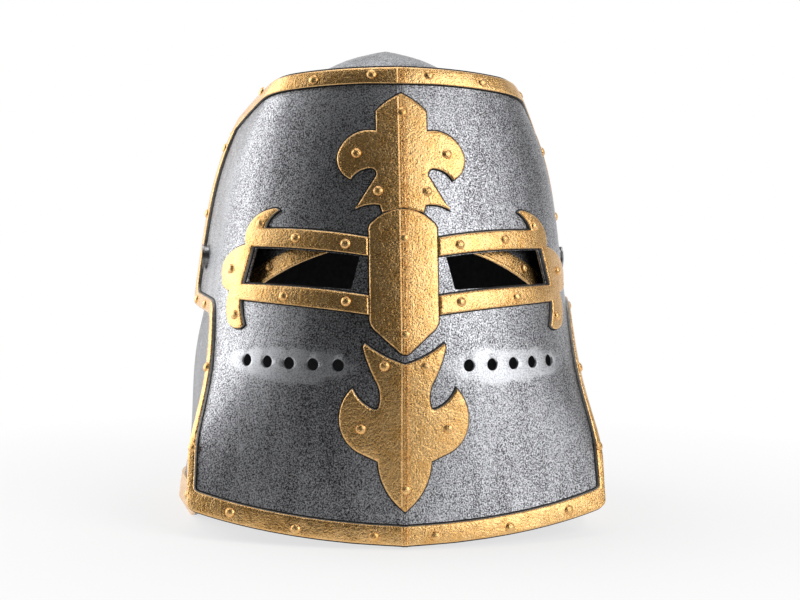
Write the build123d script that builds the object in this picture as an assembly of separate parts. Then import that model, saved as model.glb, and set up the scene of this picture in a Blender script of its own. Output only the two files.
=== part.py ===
from build123d import *
import os
from math import asin, cos, pi, radians, sin, sqrt, tan

# A great helm: a skull that wraps the head, and a large visor that covers the whole front and
# swings up on a pivot at each side. The helm faces -Y and stands on the rim of its skull at Z = 0.
# It is drawn about the upright line over the neck, and written out centred from front to back.
# All lengths are millimetres. A name that ends in share or shares is a part of the size it follows.

# Form of the visor plate
visor_height = 261.0
visor_reach = 144.0
visor_half_width = 112.0
visor_front_radius = 200.0
visor_plate_thickness = 1.5
# One row for each plan section: height, reach of the keel, half width at the back edge, front radius.
visor_level_shares = [
    (-0.046, 1.012, 1.652, 1.500),
    (0.100, 0.978, 1.388, 1.230),
    (0.240, 0.950, 1.179, 0.970),
    (0.383, 0.923, 1.063, 0.750),
    (0.540, 0.856, 0.995, 0.690),
    (0.700, 0.774, 0.945, 0.690),
    (0.862, 0.686, 0.838, 0.640),
    (1.000, 0.590, 0.665, 0.540),
    (1.100, 0.520, 0.520, 0.400),
]
keel_angle = 4.2
front_arc_end_angle = 36.0
side_line_angle = 82.0
visor_widest_place = 24.0

# The narrow raised bead that runs down the keel
bead_half_width = 1.5
bead_slope_width = 0.6
bead_rise = 0.8

# Form of the skull
skull_height = 273.0
skull_half_width = 108.0
skull_front_reach = 113.0
skull_back_reach = 117.0
skull_front_radius = 120.0
skull_plate_thickness = 1.5
# Height, front reach, half width, front radius, back reach, and how far the surface faces up there.
skull_level_shares = [
    (-0.040, 1.228, 1.142, 1.600, 1.008, 0.0),
    (0.050, 1.212, 1.118, 1.550, 0.985, 0.0),
    (0.110, 1.203, 1.093, 1.500, 0.974, 0.0),
    (0.220, 1.177, 1.074, 1.375, 0.970, 0.0),
    (0.366, 1.124, 1.042, 1.125, 0.983, 0.0),
    (0.436, 1.084, 1.003, 1.042, 0.991, 0.0),
    (0.546, 1.000, 0.962, 1.000, 1.000, 0.0),
    (0.641, 0.947, 0.912, 0.950, 0.983, 0.0),
    (0.733, 0.871, 0.850, 0.900, 0.927, 0.10),
    (0.799, 0.776, 0.785, 0.840, 0.846, 0.30),
    (0.864, 0.630, 0.655, 0.710, 0.718, 0.50),
    (0.923, 0.437, 0.492, 0.532, 0.547, 0.75),
    (0.967, 0.212, 0.289, 0.304, 0.350, 0.92),
    (0.991, 0.044, 0.127, 0.134, 0.202, 1.0),
    (1.000, -0.066, 0.020, 0.021, 0.101, 1.0),
]
back_arc_split_angle = 135.0
skull_widest_place = 10.0
crown_centre = 10.0

# Pivot of the visor: a bolt that is fixed in a boss of the skull, and a bush in the visor's ear
# that turns on it. The boss and the bush meet at flat faces.
pivot_place = 8.0
pivot_height = 149.0
pivot_bolt_diameter = 8.0
pivot_turning_clearance = 0.2
pivot_fixed_clearance = 0.05
pivot_running_gap = 0.3
pivot_head_diameter = 17.0
pivot_head_height = 3.6
pivot_head_edge = 1.0
pivot_washer_diameter = 15.0
pivot_washer_thickness = 1.0
pivot_bush_diameter = 13.0
pivot_bush_outer_stand = 1.5
pivot_bush_inner_stand = 1.6
pivot_boss_diameter = 16.0
pivot_boss_length = 5.4
pivot_nut_width = 14.0
pivot_nut_height = 5.0

# Edges of the visor seen from the side
top_edge_front_place = 86.0
top_edge_back_place = 46.0
top_edge_fall = 48.0
top_edge_bow = 5.9
ear_reach = 18.0
ear_back_angle = 13.8
ear_corner_radius = 18.0
ear_drop = 30.0
ear_neck_radius = 9.0
side_edge_top_place = 53.0
side_edge_bow = 6.0
corner_place = 104.5
corner_height = 15.4
corner_radius = 8.0
bottom_edge_angle = 18.8

# Gilt relief plates that lie on the visor
relief_height = 2.2
seat_gap = 0.1
seam_gap = 0.3
top_band_width = 9.6
bottom_band_width = 10.4
side_band_width = 4.4
ear_band_width = 8.0

# Upper fleur: half width, foot and top, then its outline in shares of the half width and height
upper_fleur_half_width = 35.5
upper_fleur_foot = 176.0
upper_fleur_top = 246.0
upper_fleur_shares = [
    ("start", (0.0, 1.0)),
    ("arc", (0.225, 0.932), (0.394, 0.857)),
    ("line", (0.394, 0.700)),
    ("arc", (0.738, 0.667), (0.944, 0.560)),
    ("arc", (0.985, 0.430), (0.789, 0.314)),
    ("arc", (0.634, 0.386), (0.479, 0.404)),
    ("arc", (0.417, 0.386), (0.408, 0.341)),
    ("line", (0.732, 0.078)),
    ("arc", (0.563, 0.112), (0.352, 0.117)),
    ("line", (0.304, 0.000)),
    ("line", (0.0, 0.000)),
]
# Nasal plate between the two sights
nasal_half_width = 18.7
nasal_foot = 104.0
nasal_top = 182.5
nasal_shares = [
    ("start", (0.0, 1.0)),
    ("arc", (0.482, 0.971), (0.829, 0.908)),
    ("arc", (0.963, 0.872), (1.0, 0.822)),
    ("line", (1.0, 0.260)),
    ("arc", (0.963, 0.204), (0.829, 0.156)),
    ("line", (0.187, 0.022)),
    ("arc", (0.096, 0.005), (0.0, 0.0)),
]
# Lower fleur, which points down
lower_fleur_half_width = 35.0
lower_fleur_foot = 20.0
lower_fleur_top = 110.0
lower_fleur_shares = [
    ("start", (0.0, 0.878)),
    ("arc", (0.286, 0.922), (0.614, 1.0)),
    ("line", (0.640, 0.975)),
    ("arc", (0.540, 0.850), (0.423, 0.756)),
    ("arc", (0.383, 0.683), (0.400, 0.628)),
    ("arc", (0.434, 0.606), (0.486, 0.609)),
    ("arc", (0.671, 0.656), (0.800, 0.730)),
    ("arc", (0.957, 0.633), (1.0, 0.528)),
    ("arc", (0.889, 0.406), (0.686, 0.342)),
    ("line", (0.414, 0.296)),
    ("arc", (0.294, 0.128), (0.0, 0.0)),
]
# Sight frame: two bars that end in a half fleur, with the sight between them. Its outline is in
# shares of its outer reach and of its height.
sight_reach = 97.0
sight_foot = 114.0
sight_top = 181.3
sight_frame_shares = [
    ("start", (0.175, 0.779)),
    ("arc", (0.464, 0.829), (0.763, 0.837)),
    ("arc", (0.737, 0.914), (0.686, 0.984)),
    ("arc", (0.701, 1.000), (0.716, 1.000)),
    ("arc", (0.820, 0.921), (0.871, 0.695)),
    ("arc", (0.969, 0.594), (1.0, 0.386)),
    ("arc", (0.995, 0.327), (0.962, 0.297)),
    ("arc", (0.977, 0.178), (0.972, 0.059)),
    ("arc", (0.931, 0.000), (0.882, 0.037)),
    ("arc", (0.895, 0.126), (0.897, 0.235)),
    ("arc", (0.567, 0.215), (0.175, 0.163)),
    ("line", (0.175, 0.316)),
    ("arc", (0.515, 0.366), (0.887, 0.371)),
    ("line", (0.830, 0.679)),
    ("arc", (0.464, 0.673), (0.175, 0.629)),
    ("line", (0.175, 0.779)),
]
# The sight itself, cut through the visor plate
sight_hole_shares = [
    ("start", (0.243, 0.632)),
    ("arc", (0.515, 0.666), (0.823, 0.667)),
    ("line", (0.878, 0.379)),
    ("arc", (0.567, 0.377), (0.294, 0.360)),
    ("line", (0.243, 0.632)),
]
sight_corner_radius = 1.6

# Breath holes in a row at each side
breath_height = 97.5
breath_hole_diameter = 6.8
breath_place_shares = [0.321, 0.442, 0.556, 0.661, 0.758]

# Rivets
rivet_head_diameter = 5.6
rivet_crown_share = 0.55
rivet_head_height = 1.2
rivet_shank_diameter = 2.4
rivet_hole_clearance = 0.05
rivet_tail = 0.3
upper_fleur_rivet_shares = [(0.0, 0.850), (0.696, 0.521), (0.375, 0.229)]
nasal_rivet_shares = [(0.0, 0.796), (0.0, 0.140)]
lower_fleur_rivet_shares = [(0.314, 0.867), (0.671, 0.489), (0.0, 0.133)]
sight_rivet_shares = [
    (0.320, 0.728),
    (0.593, 0.765),
    (0.787, 0.869),
    (0.948, 0.483),
    (0.928, 0.111),
    (0.660, 0.290),
    (0.320, 0.267),
]
top_band_rivet_shares = [(0.140, 0.983), (0.420, 0.971), (0.660, 0.950)]
bottom_band_rivet_shares = [(0.149, 0.026), (0.518, 0.036), (0.830, 0.061)]
side_band_rivet_shares = [(0.662, 0.185), (0.514, 0.348)]
ear_band_rivet_shares = [(0.208, 0.471), (-0.055, 0.471), (-0.110, 0.670), (-0.042, 0.824)]

# Face opening of the skull, with a gilt edge round it
face_arch_radius = 125.0
face_arch_top = 164.0
face_half_width = 92.0
face_corner_radius = 12.0
face_edge_width = 9.0
face_edge_thickness = 1.2
face_lip_width = 1.6
face_lip_rise = 0.8
face_edge_rivet_shares = [(0.360, 1.012), (0.780, 0.905)]

# Crown plate, whose skirt laps over the skull
crown_thickness = 1.5
crown_foot = 209.0
crown_lap = 12.0
crown_rivet_angle_shares = [0.10, 0.30, 0.56, 0.74, 0.92]

# The foot of the skull is level from its back to this place, and from there it rises towards the
# front by this much over its whole run
foot_level_place = 45.0
foot_rise = 75.0

# Gilt rim of the skull
rim_height = 15.0
rim_thickness = 1.8
rim_rivet_angle_shares = [0.42, 0.66, 0.90]

# Padded lining: a ring round the brow and a pad in the crown
lining_thickness = 13.0
lining_gap = 0.4
lining_foot = 166.0
lining_ring_height = 42.0
lining_rivet_grip = 4.0
lining_rivet_angle_shares = [0.14, 0.70, 0.90]

overrun = 30.0


def plan(reach, half_width, radius, grown, wide_place, cut_place=None, back_reach=0, size_share=1):
    """One level section of the helm: a keel, a front arc, a corner arc and a straight side.

    half_width is met at wide_place. The section is cut straight at cut_place, or it closes round
    the back of the head at back_reach. grown moves the whole outline outwards.
    """
    a0, a1, a2 = radians(keel_angle), radians(front_arc_end_angle), radians(side_line_angle)
    lean = 1 / tan(a2)
    x1 = radius * (sin(a1) - sin(a0))
    y1 = -reach + radius * (cos(a0) - cos(a1))
    spread = sin(a2) - sin(a1) - lean * (cos(a1) - cos(a2))
    corner = (half_width - x1 - (wide_place - y1) * lean) / spread
    front_centre = (-radius * sin(a0), -reach + radius * cos(a0))
    corner_centre = (x1 - corner * sin(a1), y1 + corner * cos(a1))

    def around(centre, arc_radius, angle):
        length = arc_radius + grown
        return (centre[0] + length * sin(angle), centre[1] - length * cos(angle))

    bead_half = bead_half_width * size_share
    bead_foot = bead_half + bead_slope_width * size_share
    start_angle = asin(sin(a0) + bead_foot / (radius + grown))
    foot = around(front_centre, radius, start_angle)
    crest = (bead_half, foot[1] - bead_rise * size_share)
    front_end = around(front_centre, radius, a1)
    corner_end = around(corner_centre, corner, a2)
    side_place = wide_place if cut_place is None else cut_place
    side_end = (corner_end[0] + (side_place - corner_end[1]) * lean, side_place)
    segments = [
        ((0, crest[1]), crest),
        (crest, foot),
        (foot, around(front_centre, radius, (start_angle + a1) / 2), front_end),
        (front_end, around(corner_centre, corner, (a1 + a2) / 2), corner_end),
        (corner_end, side_end),
    ]
    if cut_place is None:
        segments += back_arcs(side_end, back_reach + grown - side_place, a2)
    else:
        segments.append((side_end, (0, side_place)))
    return mirrored_face(segments, Plane.XY)


def edge_through(points, plane):
    """A line through two points or an arc through three, drawn on a plane."""
    placed = [plane.from_local_coords((across, up, 0)) for across, up in points]
    if len(placed) == 2:
        return Edge.make_line(placed[0], placed[1])
    return Edge.make_three_point_arc(placed[0], placed[1], placed[2])


def mirrored_face(segments, plane):
    """A face whose right half is given, with both ends on the middle line."""
    left = [tuple((-across, up) for across, up in reversed(points)) for points in reversed(segments)]
    return Face(Wire([edge_through(points, plane) for points in segments + left]))


def back_arcs(start, depth, first):
    """Two tangent arcs that carry a section from its side to the middle of the back."""
    split = radians(back_arc_split_angle)
    side_x, side_y = sin(first) - sin(split), cos(first) - cos(split)
    back_x, back_y = sin(split), cos(split) + 1
    side_radius = (depth - start[0] * back_y / back_x) / (side_y - side_x * back_y / back_x)
    back_radius = (start[0] - side_radius * side_x) / back_x
    side_centre = (start[0] - side_radius * sin(first), start[1] + side_radius * cos(first))

    def at(centre, arc_radius, angle):
        return (centre[0] + arc_radius * sin(angle), centre[1] - arc_radius * cos(angle))

    joint = at(side_centre, side_radius, split)
    back_centre = (0, start[1] + depth - back_radius)
    middle = at(back_centre, back_radius, (split + pi) / 2)
    return [
        (start, at(side_centre, side_radius, (first + split) / 2), joint),
        (joint, middle, (0, start[1] + depth)),
    ]


def visor_form(grown):
    """The visor's outer form as a closed solid, grown outwards by a distance.

    An inner form runs further back than an outer one, so that the wall between them is open there.
    """
    cut_place = pivot_place + ear_reach + overrun - grown
    sections = []
    for height, reach, width, radius in visor_level_shares:
        face = plan(
            visor_reach * reach,
            visor_half_width * width,
            visor_front_radius * radius,
            grown,
            visor_widest_place,
            cut_place,
        )
        sections.append(Pos(0, 0, visor_height * height) * face)
    return loft(sections)


def skull_form(grown):
    """The skull's outer form as a closed solid, grown along its own surface normal."""
    sections = []
    for height, front, width, radius, back, up in skull_level_shares:
        size = min(1, width)
        face = plan(
            skull_front_reach * front,
            skull_half_width * width,
            skull_front_radius * radius,
            grown * sqrt(1 - up**2),
            skull_widest_place,
            back_reach=skull_back_reach * back,
            size_share=size,
        )
        sections.append(Pos(0, 0, skull_height * height + grown * up) * face)
    return loft(sections)


def segments_of(shares, half_width, foot, top):
    """The lines and arcs of an outline that is written in shares of its half width and height."""
    segments = []
    last = None
    for kind, *points in shares:
        sized = [(half_width * across, foot + (top - foot) * up) for across, up in points]
        if kind != "start":
            segments.append(tuple([last] + sized))
        last = sized[-1]
    return segments


def sheet(outer, inner, prism):
    """The part of the wall between two forms that lies within a prism."""
    return (outer & prism) - inner


def front_prism(face):
    """A solid that runs from the plane through the pivots out to the front."""
    return extrude(face, amount=far, dir=(0, -1, 0))


def mirrored_prism(shares, half_width, foot, top):
    return front_prism(mirrored_face(segments_of(shares, half_width, foot, top), Plane.XZ))


def one_sided_prism(shares, half_width, foot, top, corner_radius=0):
    segments = segments_of(shares, half_width, foot, top)
    face = Face(Wire([edge_through(points, Plane.XZ) for points in segments]))
    if corner_radius:
        face = face.fillet_2d(corner_radius, face.vertices())
    return front_prism(face)


def visor_side_prism(top=0, back=0, ear=0, side=0, bottom=0):
    """The outline of the visor seen from the side, with each of its edges drawn in by a width."""
    lean = (corner_place - side_edge_top_place) / (pivot_height - ear_drop - corner_height)
    fall = tan(radians(bottom_edge_angle))
    corner_up = (bottom + fall * side) / (1 + fall * lean)
    corner = (lean * corner_up - corner_place - side, corner_height + corner_up)
    ear_foot_height = pivot_height - ear_drop + ear
    neck = (lean * (ear_foot_height - corner_height) - corner_place - side, ear_foot_height)
    bow = ((corner[0] + neck[0]) / 2 - side_edge_bow, (corner[1] + neck[1]) / 2)
    ear_back = pivot_place + ear_reach - back
    ear_corner = (ear_back, ear_foot_height)
    ear_bend = (ear_back, pivot_height)
    back_lean = tan(radians(ear_back_angle))
    over = visor_height + overrun
    points = [
        (-far, corner[1] - fall * (far + corner[0])),
        corner,
        neck,
        ear_corner,
        ear_bend,
        (ear_back - back_lean * (over - pivot_height), over),
        (-far, over),
    ]
    segments = [tuple(pair) for pair in zip(points, points[1:] + points[:1])]
    segments[1] = (corner, bow, neck)
    face = Face(Wire([edge_through(pair, Plane.YZ) for pair in segments]))
    wanted = [
        (corner, max(corner_radius - side, corner_radius / 2)),
        (neck, ear_neck_radius + side),
        (ear_corner, ear_corner_radius - ear),
    ]
    for (place, height), radius in wanted:
        nearest = face.vertices().sort_by_distance((0, place, height))[0]
        face = face.fillet_2d(radius, [nearest])
    start = (-top_edge_front_place, visor_height - top)
    end = (top_edge_back_place, visor_height - top_edge_fall - top)
    chord = sqrt((end[0] - start[0]) ** 2 + (end[1] - start[1]) ** 2)
    middle = (
        (start[0] + end[0]) / 2 + top_edge_bow * (start[1] - end[1]) / chord,
        (start[1] + end[1]) / 2 + top_edge_bow * (end[0] - start[0]) / chord,
    )
    under = [
        (start, middle, end),
        (end, (end[0], -far)),
        ((end[0], -far), (-far - overrun, -far)),
        ((-far - overrun, -far), (-far - overrun, start[1])),
        ((-far - overrun, start[1]), start),
    ]
    under_face = Face(Wire([edge_through(points, Plane.YZ) for points in under]))
    outline = extrude(face, amount=far, dir=(1, 0, 0), both=True)
    return outline & extrude(under_face, amount=far + overrun, dir=(1, 0, 0), both=True)


def face_prism(grown=0):
    """The face opening of the skull seen from the front, open at its foot."""
    radius = face_arch_radius + grown
    half = face_half_width + grown
    centre_height = face_arch_top - face_arch_radius
    shoulder = centre_height + sqrt(radius**2 - half**2)
    middle_angle = asin(half / radius) / 2
    middle = (radius * sin(middle_angle), centre_height + radius * cos(middle_angle))
    segments = [
        ((0, centre_height + radius), middle, (half, shoulder)),
        ((half, shoulder), (half, -far)),
        ((half, -far), (0, -far)),
    ]
    face = mirrored_face(segments, Plane.XZ)
    corners = [v for v in face.vertices() if abs(v.Z - shoulder) < overrun and abs(v.X) > half / 2]
    return front_prism(face.fillet_2d(face_corner_radius + grown, corners))


def foot_prism(back_top, front_top):
    """Everything above the foot line of the skull, which is level behind and rises to the front."""
    points = [
        (far, 0),
        (-foot_level_place, 0),
        (-far, foot_rise),
        (-far, front_top),
        (-foot_level_place, back_top),
        (far, back_top),
    ]
    pairs = zip(points, points[1:] + points[:1])
    face = Face(Wire([edge_through(pair, Plane.YZ) for pair in pairs]))
    return extrude(face, amount=far, dir=(1, 0, 0), both=True)


def level_slab(foot, top):
    """Everything between two levels."""
    return Pos(0, 0, (foot + top) / 2) * Box(far * 2, far * 2, top - foot)


def seat_from_front(form, across, up):
    """The point of a form straight in front of a place in the front view, and the way out of it."""
    point, normal = form.find_intersection_points(Axis((across, -far, up), (0, 1, 0)))[0]
    return point, outward(normal, Vector(0, -1, 0))


def seat_from_side(form, place, up):
    """The same for a place in the side view."""
    point, normal = form.find_intersection_points(Axis((far, place, up), (-1, 0, 0)))[0]
    return point, outward(normal, Vector(1, 0, 0))


def seat_around(form, angle_share, up):
    """The same for a direction round the head, from the front at 0 to the back at 1."""
    way = Vector(sin(pi * angle_share), -cos(pi * angle_share), 0)
    start = Vector(0, crown_centre, up) + way * far
    point, normal = form.find_intersection_points(Axis(start, way * -1))[0]
    return point, outward(normal, way)


def outward(normal, way):
    return normal if normal.dot(way) > 0 else normal * -1


def rivet(seat, grip):
    """One rivet: a head that tapers, and a shank that runs through what it holds."""
    point, normal = seat
    radius = rivet_head_diameter / 2
    upward = (Align.CENTER, Align.CENTER, Align.MIN)
    downward = (Align.CENTER, Align.CENTER, Align.MAX)
    head = Cone(radius, radius * rivet_crown_share, rivet_head_height, align=upward)
    shank = Cylinder(rivet_shank_diameter / 2, grip + rivet_tail, align=downward)
    plane = Plane(origin=point + normal * rivet_hole_clearance, z_dir=normal)
    return plane * (head + shank)


def rivet_hole(seat, grip):
    point, normal = seat
    radius = rivet_shank_diameter / 2 + rivet_hole_clearance
    length = grip * 2 + rivet_head_height
    return Plane(origin=point, z_dir=normal) * Cylinder(radius, length * 2)


def both_sides(seats):
    """Adds the left twin of every seat that is off the middle plane."""
    twins = []
    for point, normal in seats:
        if abs(point.X) > rivet_shank_diameter:
            twins.append((Vector(-point.X, point.Y, point.Z), Vector(-normal.X, normal.Y, normal.Z)))
    return seats + twins


def twin(shape):
    return mirror(shape, about=Plane.YZ)


def at_pivot(shape, start):
    """Puts a shape that stands on the ground plane onto the right pivot, from start outwards."""
    return Plane(origin=(start, pivot_place, pivot_height), z_dir=(1, 0, 0)) * shape


def write(name, shapes):
    """Writes one node, a single shape or all the like pieces of a list, centred over the floor."""
    centring = Pos(0, (visor_reach - skull_back_reach) / 2, 0)
    listed = shapes if isinstance(shapes, list) else [shapes]
    solids = [centring * solid for shape in listed for solid in shape.solids()]
    export_step(solids[0] if len(solids) == 1 else Compound(solids), f"parts/{name}.step")


os.makedirs("parts", exist_ok=True)
standing = (Align.CENTER, Align.CENTER, Align.MIN)
far = visor_reach + skull_back_reach

# The forms that all plates are cut from
visor_outer = visor_form(0)
visor_inner = visor_form(-visor_plate_thickness)
relief_outer = visor_form(relief_height)
relief_inner = visor_form(seat_gap)

# Relief plates of the visor
nasal_prism = mirrored_prism(nasal_shares, nasal_half_width, nasal_foot, nasal_top)
nasal_room = mirrored_prism(
    nasal_shares,
    nasal_half_width + seam_gap,
    nasal_foot - seam_gap,
    nasal_top + seam_gap,
)
upper_fleur_prism = mirrored_prism(
    upper_fleur_shares, upper_fleur_half_width, upper_fleur_foot, upper_fleur_top)
lower_fleur_prism = mirrored_prism(
    lower_fleur_shares, lower_fleur_half_width, lower_fleur_foot, lower_fleur_top)
sight_prism = one_sided_prism(sight_frame_shares, sight_reach, sight_foot, sight_top)
nasal = sheet(relief_outer, relief_inner, nasal_prism)
upper_fleur = sheet(relief_outer, relief_inner, upper_fleur_prism - nasal_room)
lower_fleur = sheet(relief_outer, relief_inner, lower_fleur_prism)
sight_frame = sheet(relief_outer, relief_inner, sight_prism - nasal_room)

# Bands along the edges of the visor
whole_side = visor_side_prism()
below_top_band = visor_side_prism(top=top_band_width + seam_gap)
inside_border = visor_side_prism(
    back=ear_band_width, ear=ear_band_width, side=side_band_width, bottom=bottom_band_width)
inside_top_band = visor_side_prism(top=top_band_width, back=-overrun / 2)
top_band = sheet(relief_outer, relief_inner, whole_side) - inside_top_band
border = sheet(relief_outer, relief_inner, below_top_band) - inside_border

# Visor plate with its sights, breath holes and pivot holes
visor_plate = sheet(visor_outer, visor_inner, whole_side)
sight_hole = one_sided_prism(
    sight_hole_shares, sight_reach, sight_foot, sight_top, sight_corner_radius)
visor_plate = visor_plate - [sight_hole, twin(sight_hole)]
for share in breath_place_shares:
    hole_seat = seat_from_front(visor_outer, visor_half_width * share, breath_height)
    hole = Plane(origin=hole_seat[0], z_dir=hole_seat[1]) * Cylinder(breath_hole_diameter / 2, overrun)
    visor_plate = visor_plate - [hole, twin(hole)]


# Rivet seats of the visor
relief_grip = relief_height + visor_plate_thickness


def seats_from_shares(shares, half_width, foot, top):
    places = [(half_width * across, foot + (top - foot) * up) for across, up in shares]
    return both_sides([seat_from_front(relief_outer, across, up) for across, up in places])


visor_seats = {
    "upper_fleur_rivets": seats_from_shares(
        upper_fleur_rivet_shares, upper_fleur_half_width, upper_fleur_foot, upper_fleur_top),
    "nasal_rivets": seats_from_shares(nasal_rivet_shares, nasal_half_width, nasal_foot, nasal_top),
    "lower_fleur_rivets": seats_from_shares(
        lower_fleur_rivet_shares, lower_fleur_half_width, lower_fleur_foot, lower_fleur_top),
    "top_band_rivets": seats_from_shares(top_band_rivet_shares, visor_half_width, 0, visor_height),
}
sight_seats = seats_from_shares(sight_rivet_shares, sight_reach, sight_foot, sight_top)
visor_seats["sight_rivets_left"] = [seat for seat in sight_seats if seat[0].X > 0]
visor_seats["sight_rivets_right"] = [seat for seat in sight_seats if seat[0].X < 0]
front_seats = seats_from_shares(bottom_band_rivet_shares, visor_half_width, 0, visor_height)
side_seats = both_sides([
    seat_from_side(relief_outer, -visor_reach * place, visor_height * up)
    for place, up in side_band_rivet_shares + ear_band_rivet_shares
])
visor_seats["border_rivets"] = front_seats + side_seats
visor_holes = {
    name: [rivet_hole(seat, relief_grip) for seat in seats] for name, seats in visor_seats.items()
}

# Skull: a shell that is open below and in front, a crown plate over it and a gilt rim and edge
skull_outer = skull_form(0)
skull_inner = skull_form(-skull_plate_thickness)
skull_seat = skull_form(seat_gap)
face_opening = face_prism()
shell_top = crown_foot + crown_lap
over_crown = skull_height + overrun
shell_prism = foot_prism(shell_top, shell_top)
crown_outer = skull_form(seat_gap + crown_thickness)
skull_shell = sheet(skull_outer, skull_inner, shell_prism) - face_opening
crown_plate = sheet(crown_outer, skull_seat, level_slab(crown_foot, over_crown))
edge_outer = skull_form(seat_gap + face_edge_thickness)
lip_outer = skull_form(seat_gap + face_edge_thickness + face_lip_rise)
face_room = face_prism(face_edge_width)
lip_prism = face_prism(face_lip_width)
face_strip = (edge_outer & face_room) + (lip_outer & lip_prism)
face_edge = ((face_strip & shell_prism) - face_opening) - skull_seat
rim_outer = skull_form(seat_gap + rim_thickness)
rim_prism = foot_prism(rim_height, rim_height + foot_rise)
rim_band = sheet(rim_outer, skull_seat, rim_prism) - face_prism(face_edge_width + seam_gap)

# Lining
lining_outer = skull_form(-skull_plate_thickness - lining_gap)
lining_inner = skull_form(-skull_plate_thickness - lining_gap - lining_thickness)
lining_top = lining_foot + lining_ring_height
lining_ring = sheet(lining_outer, lining_inner, level_slab(lining_foot, lining_top))
crown_pad = sheet(lining_outer, lining_inner, level_slab(lining_top + lining_gap, over_crown))

# Rivet seats of the skull
crown_rivet_height = crown_foot + crown_lap / 2
lining_rivet_height = lining_foot + lining_ring_height / 2
crown_seats = both_sides([
    seat_around(crown_outer, share, crown_rivet_height) for share in crown_rivet_angle_shares])
rim_seats = both_sides([
    seat_around(rim_outer, share, rim_height / 2) for share in rim_rivet_angle_shares])
lining_seats = both_sides([
    seat_around(skull_outer, share, lining_rivet_height) for share in lining_rivet_angle_shares])
edge_places = [
    (face_half_width * across, face_arch_top * up) for across, up in face_edge_rivet_shares]
edge_seats = both_sides([seat_from_front(edge_outer, across, up) for across, up in edge_places])
crown_grip = crown_thickness + skull_plate_thickness
rim_grip = rim_thickness + skull_plate_thickness
lining_grip = skull_plate_thickness + lining_rivet_grip
edge_grip = face_edge_thickness + skull_plate_thickness
crown_holes = [rivet_hole(seat, crown_grip) for seat in crown_seats]
rim_holes = [rivet_hole(seat, rim_grip) for seat in rim_seats]
lining_holes = [rivet_hole(seat, lining_grip) for seat in lining_seats]
edge_holes = [rivet_hole(seat, edge_grip) for seat in edge_seats]

# Pivot, worked out from where its axis meets the visor's outer surface
visor_side = seat_from_side(visor_outer, pivot_place, pivot_height)[0].X
running_plane = visor_side - visor_plate_thickness - pivot_bush_inner_stand
bush_start = running_plane + pivot_running_gap / 2
bush_end = visor_side + pivot_bush_outer_stand
boss_end = running_plane - pivot_running_gap / 2
boss_start = boss_end - pivot_boss_length
washer_start = bush_end + pivot_running_gap
head_start = washer_start + pivot_washer_thickness
nut_start = boss_start - pivot_nut_height
bolt_start = nut_start - pivot_running_gap
bolt_radius = pivot_bolt_diameter / 2


def ring(outer_radius, inner_radius, height):
    return Cylinder(outer_radius, height, align=standing) - Cylinder(inner_radius, height, align=standing)


fixed_bore = bolt_radius + pivot_fixed_clearance
head = Cylinder(pivot_head_diameter / 2, pivot_head_height, align=standing)
head = chamfer(head.edges().group_by(Axis.Z)[-1], pivot_head_edge)
shaft = Cylinder(bolt_radius, head_start - bolt_start, align=standing)
pivot_bolt = at_pivot(shaft, bolt_start) + at_pivot(head, head_start)
pivot_washer = at_pivot(
    ring(pivot_washer_diameter / 2, fixed_bore, pivot_washer_thickness), washer_start)
pivot_bush = at_pivot(
    ring(pivot_bush_diameter / 2, bolt_radius + pivot_turning_clearance, bush_end - bush_start),
    bush_start,
)
pivot_boss = at_pivot(ring(pivot_boss_diameter / 2, fixed_bore, pivot_boss_length), boss_start)
hexagon = extrude(
    RegularPolygon(pivot_nut_width / 2, 6, major_radius=False), amount=pivot_nut_height)
bore = Cylinder(fixed_bore, pivot_nut_height, align=standing)
pivot_nut = at_pivot(hexagon - bore, nut_start)
bush_room = at_pivot(
    Cylinder(pivot_bush_diameter / 2 + pivot_fixed_clearance, far, align=standing), running_plane)
boss_room = at_pivot(
    Cylinder(pivot_boss_diameter / 2 + pivot_fixed_clearance, far, align=standing), 0)

# Every plate gets the holes of what passes through it
for holes in visor_holes.values():
    visor_plate = visor_plate - holes
visor_plate = visor_plate - [bush_room, twin(bush_room)]
top_band = top_band - visor_holes["top_band_rivets"]
border = border - visor_holes["border_rivets"]
upper_fleur = upper_fleur - visor_holes["upper_fleur_rivets"]
nasal = nasal - visor_holes["nasal_rivets"]
lower_fleur = lower_fleur - visor_holes["lower_fleur_rivets"]
sight_left = sight_frame - visor_holes["sight_rivets_left"]
sight_right = twin(sight_left)
for holes in (crown_holes, rim_holes, lining_holes, edge_holes):
    skull_shell = skull_shell - holes
skull_shell = skull_shell - [boss_room, twin(boss_room)]
crown_plate = crown_plate - crown_holes
face_edge = face_edge - edge_holes
rim_band = rim_band - rim_holes
lining_ring = lining_ring - lining_holes

write("visor_plate", visor_plate)
write("visor_top_band", top_band)
write("visor_border", border)
write("upper_fleur", upper_fleur)
write("nasal_plate", nasal)
write("lower_fleur", lower_fleur)
write("sight_frame_left", sight_left)
write("sight_frame_right", sight_right)
for name, seats in visor_seats.items():
    write(name, [rivet(seat, relief_grip) for seat in seats])
write("skull_shell", skull_shell)
write("crown_plate", crown_plate)
write("face_edge", face_edge)
write("rim_band", rim_band)
write("lining_ring", lining_ring)
write("crown_pad", crown_pad)
write("crown_rivets", [rivet(seat, crown_grip) for seat in crown_seats])
write("rim_rivets", [rivet(seat, rim_grip) for seat in rim_seats])
write("lining_rivets", [rivet(seat, lining_grip) for seat in lining_seats])
write("face_edge_rivets", [rivet(seat, edge_grip) for seat in edge_seats])
for name, shape in (
    ("pivot_bolt", pivot_bolt),
    ("pivot_washer", pivot_washer),
    ("pivot_bush", pivot_bush),
    ("pivot_boss", pivot_boss),
    ("pivot_nut", pivot_nut),
):
    write(name + "_left", shape)
    write(name + "_right", twin(shape))
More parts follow.
